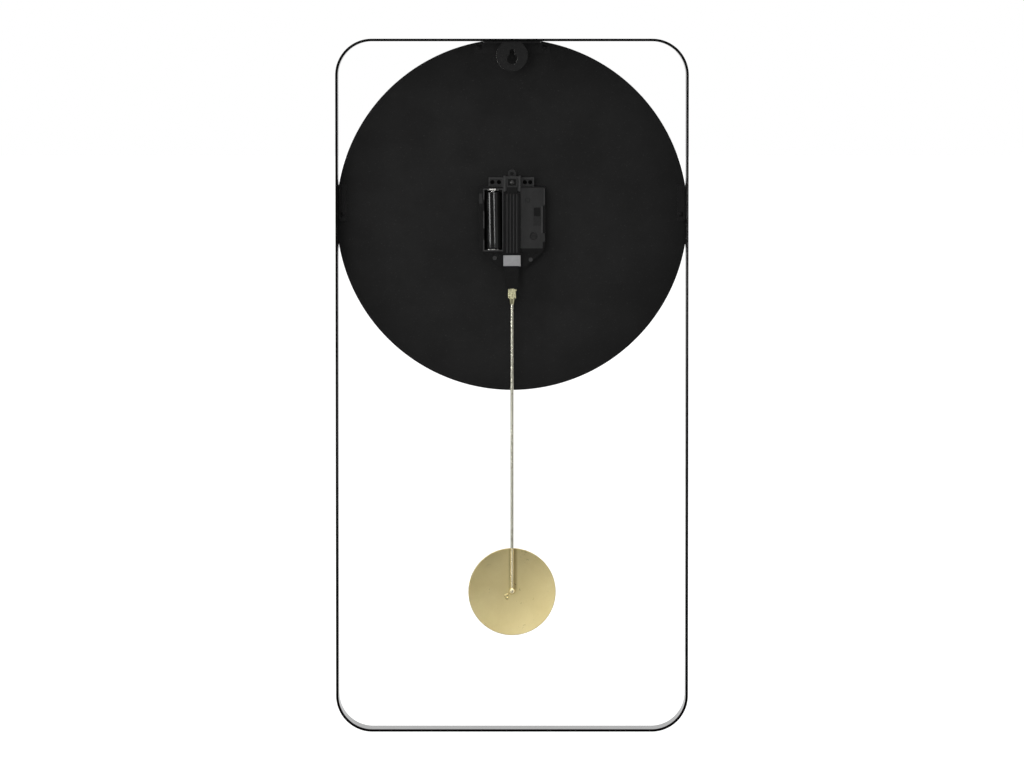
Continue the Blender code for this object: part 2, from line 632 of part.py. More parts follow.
def make_motion_work():
    """The gears behind the dial that turn the hour hand at a twelfth of the minute hand's speed."""
    module = MOTION_MODULE
    hour_layer, pinion_layer, cannon_layer, minute_layer = (2.2, 3.2), (2.0, 4.3), (3.6, 5.2), (4.0, 5.0)
    cannon_phase = SETTING_ANGLE
    cannon_shape = slab(gear(CANNON_TEETH, module, cannon_phase), *cannon_layer)
    cannon = Piece("cannon_pinion", cannon_shape, "brass", hands)
    cannon.join(rod_shape(CANNON_RADIUS, -9.1, 4.9))
    cannon.join(rod_shape(CENTRE_PIN, 4.5, 7.0))

    minute_phase = meshing(CANNON_TEETH, cannon_phase, MINUTE_TEETH, SETTING_ANGLE)
    minute_place = (MINUTE_AT[0], 0, MINUTE_AT[1])
    minute_outline = gear(MINUTE_TEETH, module, minute_phase)
    minute = Piece("minute_wheel", slab(minute_outline, *minute_layer), "white_plastic", movement, minute_place)
    back_to_arbor = SETTING_ANGLE - pi
    minute.join(slab(gear(MINUTE_PINION, module, back_to_arbor), *pinion_layer))
    minute.cut(rod_shape(STUD_PIN + RUNNING, pinion_layer[0] - OVER, minute_layer[1] + OVER))

    hour_phase = meshing(MINUTE_PINION, back_to_arbor, HOUR_TEETH, back_to_arbor)
    hour = Piece("hour_wheel", slab(gear(HOUR_TEETH, module, hour_phase), *hour_layer), "white_plastic", hands)
    hour.join(rod_shape(HOUR_PIPE_RADIUS, -7.1, 2.6))
    hour.cut(rod_shape(CANNON_RADIUS + RUNNING, -9.0, 6.0))

    idler_phase = meshing(MINUTE_TEETH, minute_phase, SETTING_TEETH, SETTING_ANGLE)
    idler_outline = gear(SETTING_TEETH, module, idler_phase)
    idler_place = (IDLER_AT[0], 0, IDLER_AT[1])
    idler = Piece("setting_idler", slab(idler_outline, *minute_layer), "white_plastic", movement, idler_place)
    idler.cut(rod_shape(STUD_PIN + RUNNING, minute_layer[0] - OVER, minute_layer[1] + OVER))

    knob_phase = meshing(SETTING_TEETH, idler_phase, SETTING_TEETH, SETTING_ANGLE)
    knob_place = (KNOB_AT[0], 0, KNOB_AT[1])
    shaft, shaft_low, head, head_low = 1.2, 4.4, 2.8, 14.9
    stem = [(0, PIVOT_FRONT), (STUD_PIN, PIVOT_FRONT), (STUD_PIN, shaft_low), (shaft, shaft_low)]
    stem += [(shaft, head_low), (head, head_low), (head, CASE_DEPTH), (0, CASE_DEPTH)]
    knob = Piece("set_knob", turned(stem), "case_plastic", movement, knob_place)
    knob.join(slab(gear(SETTING_TEETH, module, knob_phase), *minute_layer))
    slot_half, slot_length, slot_depth = 0.45, 2.0, 0.6
    slot_low = (-slot_length, CASE_DEPTH - slot_depth, -slot_half)
    knob.cut(block(slot_low, (slot_length, CASE_DEPTH + OVER, slot_half)))


def make_wheel(name, place, wheel, pinion, phases, wheel_layer, pinion_layer):
    """A moulded wheel with its pinion and arbor in one. A gear is (teeth, module), a layer is (low, high)."""
    spot = (place[0], 0, place[1])
    wheel_phase, pinion_phase = phases
    piece = Piece(name, slab(gear(*wheel, wheel_phase), *wheel_layer), "white_plastic", movement, spot)
    piece.join(slab(gear(*pinion, pinion_phase), *pinion_layer))
    piece.join(rod_shape(PIVOT_RADIUS, PIVOT_FRONT, BRIDGE_BACK - 0.1))


def make_going_train():
    """Rotor to centre wheel: thirty to one, then sixty to one."""
    third_pinion, centre_teeth, centre_module = CENTRE_STAGE
    seconds_pinion, third_teeth, third_module = THIRD_STAGE
    inter_pinion, seconds_teeth, seconds_module = SECONDS_STAGE
    rotor_pinion, inter_teeth, inter_module = ROTOR_STAGE

    hub_radius = 1.8
    centre_shape = slab(gear(centre_teeth, centre_module, THIRD_ANGLE), 5.8, 6.6)
    centre = Piece("centre_wheel", centre_shape, "white_plastic", movement)
    centre.join(rod_shape(hub_radius, 5.5, 6.9))
    centre.cut(rod_shape(CENTRE_PIN + RUNNING, 5.5 - OVER, 6.9 + OVER))

    third_pinion_phase = meshing(centre_teeth, THIRD_ANGLE, third_pinion, THIRD_ANGLE)
    seconds_pinion_phase = meshing(third_teeth, SECONDS_ANGLE, seconds_pinion, SECONDS_ANGLE)
    inter_pinion_phase = meshing(seconds_teeth, INTERMEDIATE_ANGLE, inter_pinion, INTERMEDIATE_ANGLE)
    make_wheel(
        "third_wheel",
        THIRD_AT,
        (third_teeth, third_module),
        (third_pinion, centre_module),
        (SECONDS_ANGLE, third_pinion_phase),
        (7.3, 8.1),
        (5.5, 7.5),
    )
    make_wheel(
        "seconds_wheel",
        SECONDS_AT,
        (seconds_teeth, seconds_module),
        (seconds_pinion, third_module),
        (INTERMEDIATE_ANGLE, seconds_pinion_phase),
        (8.7, 9.4),
        (7.0, 8.9),
    )
    make_wheel(
        "intermediate_wheel",
        INTERMEDIATE_AT,
        (inter_teeth, inter_module),
        (inter_pinion, seconds_module),
        (ROTOR_ANGLE, inter_pinion_phase),
        (9.9, 10.6),
        (8.4, 10.1),
    )
    rotor_phase = meshing(inter_teeth, ROTOR_ANGLE, rotor_pinion, ROTOR_ANGLE)
    rotor_outline = gear(rotor_pinion, inter_module, rotor_phase)
    rotor_place = (ROTOR_AT[0], 0, ROTOR_AT[1])
    rotor = Piece("rotor", slab(rotor_outline, 9.65, 10.95), "magnet_grey", movement, rotor_place)
    rotor.join(rod_shape(0.45, PIVOT_FRONT, 14.6))
    rotor.join(rod_shape(ROTOR_RADIUS, 12.4, 14.2))


def make_bridge():
    left, right, top, waist = -27.0, -2.0, 17.0, 2.0
    low, low_left, low_right = -8.0, -16.0, -12.0
    outline = [(left, top), (left, waist), (low_left, low), (low_right, low), (right, waist), (right, top)]
    holes = [circle(place, PIVOT_RADIUS + RUNNING) for place in (THIRD_AT, SECONDS_AT, INTERMEDIATE_AT)]
    holes.append(circle(ROTOR_AT, 1.8))
    Piece("train_bridge", slab(outline, BRIDGE_DEPTH, BRIDGE_BACK, holes), "white_plastic", movement)


def make_motor():
    """The stepping motor's stator and coil, and the board with the coil that drives the pendulum."""
    left, right = -26.2, -10.4
    top, low, arch, leg = 17.0, -8.9, 7.6, 2.8
    outline = [(left, top), (left, low), (left + leg, low), (left + leg, arch)]
    outline += [(right - leg, arch), (right - leg, low), (right, low), (right, top)]
    stator = slab(outline, 12.6, 13.4, [circle(ROTOR_AT, ROTOR_RADIUS + 0.5)])
    Piece("stator", stator, "nickel", movement)

    coil_left, coil_right, cheek = -24.6, -10.6, 1.0
    flange, winding = 3.0, 2.4
    coil_centre = (0, 11.4, -12.4)
    coil = [(0, coil_left), (flange, coil_left), (flange, coil_left + cheek), (winding, coil_left + cheek)]
    coil += [(winding, coil_right - cheek), (flange, coil_right - cheek), (flange, coil_right), (0, coil_right)]
    Piece("motor_coil", turned(coil, coil_centre, axis="X"), "copper", movement)

    board = block((-9.5, 12.2, -29.6), (7.0, 13.2, -13.6))
    Piece("circuit_board", board, "board_green", movement)
    can_radius, can_end, can_half, can_soft = 1.0, 0.8, 3.0, 0.2
    can = [(0, -can_half), (can_end, -can_half), (can_radius, can_soft - can_half)]
    can += [(can_radius, can_half - can_soft), (can_end, can_half), (0, can_half)]
    Piece("crystal_can", turned(can, axis="X"), "nickel", movement, (-2.0, 10.9, -24.5))
    bore, bobbin, wound = 1.4, 4.6, 4.1
    low, low_flange, high_flange, high = 5.0, 5.8, 9.4, 10.2
    drive = [(bore, low), (bobbin, low), (bobbin, low_flange), (wound, low_flange)]
    drive += [(wound, high_flange), (bobbin, high_flange), (bobbin, high), (bore, high)]
    Piece("drive_coil", turned(drive, (0, 0, -38.4), tube=True), "copper", movement)


def make_pivot_pin():
    head = 1.9
    under, rim, shoulder, dome = ARM_BACK + 0.6, ARM_BACK + 1.1, ARM_BACK + 1.5, ARM_BACK + 1.6
    profile = [(0, PIN_FRONT), (PIN_RADIUS, PIN_FRONT), (PIN_RADIUS, under), (head, under), (head, rim)]
    profile += [(1.4, shoulder), (0, dome)]
    Piece("pivot_pin", turned(profile), "nickel", movement, (0, 0, PENDULUM_PIVOT))


def make_pendulum_arm():
    """The swinging arm: an eye on the pin, a ribbed strip, a tray for the magnet and a fork with a cross bar."""
    eye_radius, neck_half, neck_top = 3.45, 2.5, -1.0
    strip_half, strip_top, strip_low = 6.9, -9.0, -61.6
    rib_half, rib_inset, rib_proud = 0.5, 0.8, 0.6
    tray_half, tray_low, tray_sheet = 8.1, -73.2, 0.9
    fork_front, fork_back, fork_proud = 14.0, 20.2, 0.3
    fork_half, fork_in, fork_inset = 5.8, 2.2, 1.0
    fork_top, fork_floor, fork_low = -72.6, -82.7, -91.6
    overlap = 0.5

    strip = block((-strip_half, ARM_DEPTH, strip_low), (strip_half, ARM_BACK, strip_top))
    arm = Piece("pendulum_arm", strip, "black_plastic", pendulum)
    arm.join(block((-neck_half, ARM_DEPTH + 0.1, strip_top - OVER), (neck_half, ARM_BACK - 0.1, neck_top)))
    arm.join(rod_shape(eye_radius, ARM_DEPTH - 0.1, ARM_BACK + 0.2))
    arm.cut(rod_shape(PIN_RADIUS + RUNNING, ARM_DEPTH - OVER, ARM_BACK + OVER))
    for x in (-4.5, -1.5, 1.5, 4.5):
        rib_low = (x - rib_half, ARM_BACK - overlap, strip_low + rib_inset)
        arm.join(block(rib_low, (x + rib_half, ARM_BACK + rib_proud, strip_top - rib_inset)))
    tray_front = ARM_DEPTH + 0.05
    tray = block((-tray_half, tray_front, tray_low), (tray_half, tray_front + tray_sheet, strip_low + overlap))
    arm.join(tray)
    arm.join(block((-fork_half, fork_front, fork_floor), (fork_half, fork_back, fork_top)))
    for way in (-1, 1):
        left, right = sorted((way * fork_in, way * fork_half))
        arm.join(block((left, fork_front, fork_low), (right, fork_back, fork_floor + OVER)))
    web_half = fork_half - fork_inset
    web_low = (-web_half, fork_back - OVER, fork_low)
    arm.join(block(web_low, (web_half, fork_back + fork_proud, fork_floor + OVER)))
    bar_centre = (0, HOOK_DEPTH, -HOOK_DROP)
    arm.join(rod_shape(CROSS_BAR_RADIUS, -web_half, web_half, bar_centre, axis="X"))
    magnet = block((-MAGNET_HALF, ARM_DEPTH + 1.2, MAGNET_LOW), (MAGNET_HALF, MAGNET_BACK, MAGNET_TOP))
    Piece("arm_magnet", magnet, "magnet_grey", pendulum)


def make_rod_connector():
    """The gold socket that hooks on the arm's cross bar and holds the rod, drawn from the bar's axis."""
    half, top, low, taper_low = 3.35, -5.1, -12.8, -18.2
    front, back = -1.2, ROD_OFFSET + 1.3
    eye_half, eye_radius, eye_sheet = 1.8, 2.2, 0.95
    taper_top, taper_radius, mouth_radius = low + 0.4, 2.6, 1.75
    body = block((-half, front, low), (half, back, top))
    connector = Piece("rod_connector", body, "gold", hook)
    connector.join(block((-eye_half, -eye_sheet, top - OVER), (eye_half, eye_sheet, -1.2)))
    connector.join(rod_shape(eye_radius, -eye_half, eye_half, axis="X"))
    connector.cut(rod_shape(CROSS_BAR_RADIUS + RUNNING, -eye_half - OVER, eye_half + OVER, axis="X"))
    taper = [(0, taper_low), (mouth_radius, taper_low), (taper_radius, taper_top), (0, taper_top)]
    connector.join(turned(taper, (0, ROD_OFFSET, 0), axis="Z"))
    bore = ROD_RADIUS + RUNNING
    connector.cut(rod_shape(bore, taper_low - OVER, ROD_TOP + 0.4, (0, ROD_OFFSET, 0), axis="Z"))


def make_pendulum_rod():
    """The rod, the ball at its end and the disc, drawn from the cross bar's axis."""
    bob_z = HOOK_DROP - BOB_DROP
    ball_z = bob_z + 0.9
    rod_low = ball_z - 0.4
    Piece("pendulum_rod", rod_shape(ROD_RADIUS, rod_low, ROD_TOP, axis="Z"), "gold", hook, (0, ROD_OFFSET, 0))

    belts = 8
    middle = [pi * step / belts for step in range(1, belts)]
    ball = [(BOSS_RADIUS * sin(turn), -BOSS_RADIUS * cos(turn)) for turn in middle]
    ball = [(0, -BOSS_RADIUS), *ball, (0, BOSS_RADIUS)]
    flat = ROD_RADIUS + 1.25
    boss = Piece("bob_boss", turned(ball, axis="Z"), "gold", hook, (0, ROD_OFFSET, ball_z))
    around = BOSS_RADIUS + OVER
    boss.cut(block((-around, -around, -around), (around, -flat, around)))
    boss.cut(rod_shape(ROD_RADIUS + RUNNING, -0.7, around, axis="Z"))

    seat = ROD_OFFSET - flat - GAP
    back = [(BOB_RADIUS * share, seat + BOB_DISH * share * share) for share in (0, 0.5, 1)]
    front = [(radius, depth - BOB_SHEET) for radius, depth in reversed(back)]
    Piece("bob", turned(back + front, steps=BOB_STEPS), "gold", hook, (0, 0, bob_z))


clear_scene()
materials = {name: make_material(name) for name in MATERIALS}
dial = make_group("dial_group", (0, DIAL_BACK, DIAL_CENTRE))
movement = make_group("movement_group", (0, 0, 0), dial)
hands = make_group("hands_axis", (0, 0, 0), dial)
pendulum = make_group("pendulum_axis", (0, 0, PENDULUM_PIVOT), dial)
hook = make_group("hook_axis", (0, HOOK_DEPTH, -HOOK_DROP), pendulum)

make_frame()
make_hanger()
make_top_bracket()
make_side_bracket("left", -1)
make_side_bracket("right", 1)
make_dial()
make_markers()
make_bushing()
make_hands()
make_front_shell()
make_back_cover()
make_battery()
make_motion_work()
make_going_train()
make_bridge()
make_motor()
make_pivot_pin()
make_pendulum_arm()
make_rod_connector()
make_pendulum_rod()
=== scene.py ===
"""The looks of the pendulum wall clock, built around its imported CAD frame.

The dial faces -Y and the wall is the plane Y = 0. Most shapes are drawn in millimetres from the hands' arbor:
x to the right as the dial is read, depth from the dial's back towards the wall, and z up.
"""

from math import atan2, cos, pi, radians, sin

import bmesh
import bpy
from mathutils import Matrix, Vector
from mathutils.geometry import tessellate_polygon


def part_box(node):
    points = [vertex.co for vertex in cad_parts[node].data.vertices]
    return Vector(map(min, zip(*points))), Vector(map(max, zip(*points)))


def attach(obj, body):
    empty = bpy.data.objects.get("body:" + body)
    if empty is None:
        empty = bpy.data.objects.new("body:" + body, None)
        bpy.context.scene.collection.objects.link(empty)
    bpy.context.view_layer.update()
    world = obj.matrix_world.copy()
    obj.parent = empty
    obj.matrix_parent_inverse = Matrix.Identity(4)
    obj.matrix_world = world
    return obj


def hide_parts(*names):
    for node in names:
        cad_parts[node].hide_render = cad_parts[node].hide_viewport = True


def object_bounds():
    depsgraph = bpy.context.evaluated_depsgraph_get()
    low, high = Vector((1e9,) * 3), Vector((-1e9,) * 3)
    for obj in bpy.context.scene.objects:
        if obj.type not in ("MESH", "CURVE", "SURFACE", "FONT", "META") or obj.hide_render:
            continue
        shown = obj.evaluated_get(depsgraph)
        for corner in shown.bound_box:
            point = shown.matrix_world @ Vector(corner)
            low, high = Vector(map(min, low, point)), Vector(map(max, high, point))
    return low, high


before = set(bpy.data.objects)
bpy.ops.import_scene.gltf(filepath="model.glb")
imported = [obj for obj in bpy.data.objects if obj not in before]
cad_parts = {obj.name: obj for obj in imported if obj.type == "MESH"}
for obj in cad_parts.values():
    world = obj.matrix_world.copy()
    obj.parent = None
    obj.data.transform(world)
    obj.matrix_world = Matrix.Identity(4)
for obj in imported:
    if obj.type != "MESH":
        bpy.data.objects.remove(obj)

cad_low, cad_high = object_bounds()

MM = 0.001
BODY = "clock_body"
ARM = "pendulum_arm_assembly"
ROD = "pendulum_rod_assembly"

disc_low, disc_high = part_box("dial_disc")
ARBOR = Vector(((disc_low.x + disc_high.x) / 2, disc_high.y, (disc_low.z + disc_high.z) / 2))
WALL = Vector((0, 0, 0))


def local_box(node, place=ARBOR):
    """The low and high corners of a CAD node's box, in millimetres from a place."""
    return [(corner - place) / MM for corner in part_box(node)]


def middle_of(node):
    low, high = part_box(node)
    return (low + high) / 2


def add(name, data):
    obj = bpy.data.objects.new(name, data)
    bpy.context.scene.collection.objects.link(obj)
    return obj


# ---------------------------------------------------------------- finishes

WHITE = (1, 1, 1, 1)


def grey(value, warmth=0.0):
    return (value * (1 + warmth), value, value * (1 - warmth), 1.0)


def dimmed(colour, share):
    return [part * share for part in colour[:3]] + [1.0]


class Nodes:
    """Short calls for the nodes of a material or of the world."""

    def __init__(self, tree, place):
        self.tree = tree
        self.place = self.node("ShaderNodeTexCoord").outputs[place]

    def node(self, kind, inputs=None, **settings):
        """A new node. Each input is a plain value, or another node's output to link."""
        made = self.tree.nodes.new(kind)
        for key, value in settings.items():
            setattr(made, key, value)
        return self.feed(made, inputs or {})

    def feed(self, node, inputs):
        for key, value in inputs.items():
            if hasattr(value, "is_linked"):
                self.tree.links.new(value, node.inputs[key])
            else:
                node.inputs[key].default_value = value
        return node

    def vector(self, operation, first, second):
        return self.node("ShaderNodeVectorMath", {0: first, 1: second}, operation=operation).outputs[0]

    def stretched(self, stretch):
        return self.vector("MULTIPLY", self.place, stretch) if stretch else self.place

    def noise(self, scale, detail=3.0, roughness=0.55, stretch=None, twist=0.0, place=None):
        if place is None:
            place = self.stretched(stretch)
        inputs = {"Vector": place, "Scale": scale, "Detail": detail}
        inputs |= {"Roughness": roughness, "Distortion": twist}
        return self.node("ShaderNodeTexNoise", inputs).outputs["Fac"]

    def cells(self, scale, feature="F1", stretch=None):
        inputs = {"Vector": self.stretched(stretch), "Scale": scale}
        return self.node("ShaderNodeTexVoronoi", inputs, feature=feature).outputs["Distance"]

    def remap(self, value, low, high, start, end):
        inputs = {"Value": value, "From Min": low, "From Max": high, "To Min": start, "To Max": end}
        return self.node("ShaderNodeMapRange", inputs).outputs["Result"]

    def maths(self, operation, first, second):
        return self.node("ShaderNodeMath", {0: first, 1: second}, operation=operation).outputs[0]

    def mix(self, factor, first, second):
        inputs = {0: factor, 6: first, 7: second}
        return self.node("ShaderNodeMix", inputs, data_type="RGBA").outputs[2]


class Finish(Nodes):
    """A procedural material: a Principled shader, and what feeds it."""

    def __init__(self, name, **constants):
        self.material = bpy.data.materials.new(name)
        self.material.use_nodes = True
        super().__init__(self.material.node_tree, "Object")
        self.shader = self.tree.nodes["Principled BSDF"]
        self.feed(self.shader, {socket.replace("_", " "): value for socket, value in constants.items()})
        self.normal = None

    def drift(self, dark, light, low, high, *noise):
        """Two colours that run slowly into each other."""
        return self.mix(self.remap(self.noise(*noise), low, high, 0, 1), dark, light)

    def flecked(self, colour, tint, low, high, most, *noise):
        """The colour, with flecks of another where the noise is high."""
        return self.mix(self.remap(self.noise(*noise), low, high, 0, most), colour, tint)

    def gloss(self, low, high, *noise):
        """A roughness that wanders between two values."""
        return self.remap(self.noise(*noise), 0.3, 0.7, low, high)

    def bump(self, height, distance, strength=1.0):
        node = self.node("ShaderNodeBump", {"Height": height, "Distance": distance, "Strength": strength})
        if self.normal:
            self.feed(node, {"Normal": self.normal})
        self.normal = node.outputs["Normal"]

    def axis_distance(self, centre, plane="XZ"):
        """The distance from a point in metres, counting only the directions named."""
        shifted = self.vector("SUBTRACT", self.place, centre)
        flat = self.vector("MULTIPLY", shifted, [float(letter in plane) for letter in "XYZ"])
        return self.node("ShaderNodeVectorMath", {0: flat}, operation="LENGTH").outputs["Value"]

    def end(self, colour, roughness):
        self.feed(self.shader, {"Base Color": colour, "Roughness": roughness})
        if self.normal:
            self.feed(self.shader, {"Normal": self.normal})
        return self.material


def make_powder_coat(name, dark, light, rough, centre=None):
    """Black powder coat on steel: a fine orange peel, a slow drift of gloss, dust and a few handling marks.
    Round a centre, it is darker towards the dial's edge."""
    finish = Finish(name, Specular_IOR_Level=0.1)
    colour = finish.drift(dark, light, 0.35, 0.65, 22, 4, 0.6)
    colour = finish.flecked(colour, grey(0.09, 0.03), 0.66, 0.74, 0.18, 900, 2, 0.4)
    if centre:
        reach = finish.remap(finish.axis_distance(centre), 0.118, 0.152, 0, 0.45)
        colour = finish.mix(reach, colour, grey(0.0035))
    rub = finish.remap(finish.noise(34, 5, 0.7, (1, 1, 5), 0.6), 0.58, 0.8, 0, 0.1)
    gloss = finish.gloss(rough - 0.05, rough + 0.06, 60, 5, 0.6)
    finish.bump(finish.noise(620, 2, 0.5), 0.00012, 0.35)
    finish.bump(finish.noise(2600, 2, 0.5), 0.00004, 0.25)
    return finish.end(colour, finish.maths("SUBTRACT", gloss, rub))


def make_bar_enamel(name):
    """A thin black enamel on the bent bar: glossy, a little wavy, with some dust."""
    finish = Finish(name, Specular_IOR_Level=0.14)
    colour = finish.drift(grey(0.0012), grey(0.0024), 0.35, 0.65, 30, 4, 0.6)
    colour = finish.flecked(colour, grey(0.04), 0.68, 0.76, 0.08, 900, 2, 0.4)
    finish.bump(finish.noise(420, 3, 0.5), 0.00002, 0.3)
    return finish.end(colour, finish.gloss(0.09, 0.14, 80, 4, 0.6))


def make_moulded(name, dark, light, rough, specular=0.22):
    """Injection-moulded plastic: a spark-eroded grain, flow drift and small shiny rubs."""
    finish = Finish(name, Specular_IOR_Level=specular)
    colour = finish.drift(dark, light, 0.3, 0.7, 85, 4, 0.6, (1, 1, 0.4), 0.8)
    dust = grey(min(0.14, light[0] * 4), 0.02)
    colour = finish.flecked(colour, dust, 0.64, 0.74, 0.22, 1700, 2, 0.4)
    rub = finish.remap(finish.noise(120, 4, 0.7), 0.6, 0.75, 0, 0.12)
    gloss = finish.gloss(rough - 0.04, rough + 0.06, 260, 3, 0.5)
    finish.bump(finish.cells(1500), 0.00005, 0.4)
    finish.bump(finish.noise(3300, 2, 0.5), 0.00002, 0.3)
    return finish.end(colour, finish.maths("SUBTRACT", gloss, rub))


def make_metal(name, dark, light, rough, lines=None, grain=2200, spotted=0.35):
    """Plated metal: a slow tarnish, hairlines along the way it was worked, and a fine grain."""
    finish = Finish(name, Metallic=1.0)
    colour = finish.drift(dark, light, 0.3, 0.72, 48, 5, 0.6, lines, 0.0 if lines else 0.5)
    colour = finish.flecked(colour, dimmed(dark, 0.55), 0.64, 0.78, spotted, 700, 3, 0.6)
    gloss = finish.gloss(rough - 0.05, rough + 0.07, 150, 4, 0.6)
    if lines:
        worked = finish.noise(900, 3, 0.6, lines)
        gloss = finish.maths("ADD", gloss, finish.remap(worked, 0.35, 0.65, -0.05, 0.05))
        finish.bump(worked, 0.00003, 0.35)
    finish.bump(finish.noise(grain, 2, 0.5), 0.00002, 0.3)
    return finish.end(colour, gloss)


def make_spun_gold(name, dark, light, rod_shadow_depth=0.0):
    """Gold sheet with the faint rings of a spun disc and a worn middle; beside the wire, above the middle, a
    painted shadow of the wire that reaches further towards -X.
    """
    finish = Finish(name, Metallic=0.94)
    centre = middle_of("bob")
    reach = finish.axis_distance(centre)
    colour = finish.drift(dark, light, 0.3, 0.7, 40, 5, 0.6, None, 0.6)
    colour = finish.mix(finish.remap(reach, 0.0, 0.03, 0.3, 0.0), colour, dimmed(dark, 0.8))
    colour = finish.flecked(colour, dimmed(dark, 0.6), 0.66, 0.78, 0.3, 480, 3, 0.6)
    # A darker band beside the wire, above the plate's middle: the painted shadow of the wire.
    if rod_shadow_depth:
        beside = finish.axis_distance(centre - Vector((0.85, 0, 0)) * MM, "X")
        above = finish.node("ShaderNodeSeparateXYZ", {0: finish.place}).outputs["Z"]
        near = finish.remap(beside, 2.4 * MM, 4.2 * MM, rod_shadow_depth, 0)
        tint = finish.maths("MULTIPLY", near, finish.remap(above, centre.z, centre.z + 3 * MM, 0, 1))
        colour = finish.mix(tint, colour, (0.26, 0.17, 0.05, 1))
    outwards = finish.node("ShaderNodeCombineXYZ", {"X": reach}).outputs[0]
    rings = finish.noise(1500, 3, 0.5, place=outwards)
    gloss = finish.gloss(0.28, 0.39, 110, 4, 0.6)
    gloss = finish.maths("ADD", gloss, finish.remap(rings, 0.35, 0.65, -0.03, 0.03))
    finish.bump(rings, 0.00002, 0.3)
    finish.bump(finish.noise(1900, 2, 0.5), 0.00002, 0.25)
    return finish.end(colour, gloss)


def make_wrap(name):
    """The plain film round a battery: deep black, glossy, with shrink ripples."""
    finish = Finish(name, Specular_IOR_Level=0.22, Coat_Weight=0.05, Coat_Roughness=0.08)
    colour = finish.drift(grey(0.006), grey(0.014), 0.3, 0.7, 90, 3, 0.5, (1, 1, 0.3))
    colour = finish.flecked(colour, grey(0.1), 0.66, 0.76, 0.25, 1500, 2, 0.4)
    finish.bump(finish.noise(160, 3, 0.5, (1, 1, 0.15)), 0.00005, 0.15)
    return finish.end(colour, finish.gloss(0.12, 0.18, 200, 4, 0.6))


def make_board(name):
    """A circuit board's green lacquer, with pale tracks under it and the weave of the laminate."""
    finish = Finish(name, Specular_IOR_Level=0.5, Coat_Weight=0.4, Coat_Roughness=0.15)
    track = finish.remap(finish.cells(260, "DISTANCE_TO_EDGE", (1, 0.01, 1)), 0.05, 0.09, 1, 0)
    colour = finish.mix(track, (0.012, 0.075, 0.03, 1), (0.03, 0.16, 0.06, 1))
    weave = finish.noise(1400, 2, 0.5, (1, 1, 0.2))
    colour = finish.mix(finish.remap(weave, 0.4, 0.6, 0, 0.3), colour, (0.02, 0.1, 0.04, 1))
    finish.bump(track, 0.00004, 0.5)
    return finish.end(colour, finish.remap(weave, 0.3, 0.7, 0.28, 0.42))


def make_winding(name, along):
    """Enamelled copper wire, wound close: its turns are fine ridges across the coil."""
    finish = Finish(name, Metallic=0.85, Coat_Weight=0.6, Coat_Roughness=0.15)
    turns = finish.noise(5200, 0, 0.5, along)
    copper = [(0.26, 0.075, 0.025, 1), (0.62, 0.24, 0.1, 1)]
    colour = finish.mix(finish.remap(turns, 0.35, 0.65, 0, 1), *copper)
    finish.bump(turns, 0.00008, 0.6)
    return finish.end(colour, finish.gloss(0.22, 0.36, 300))


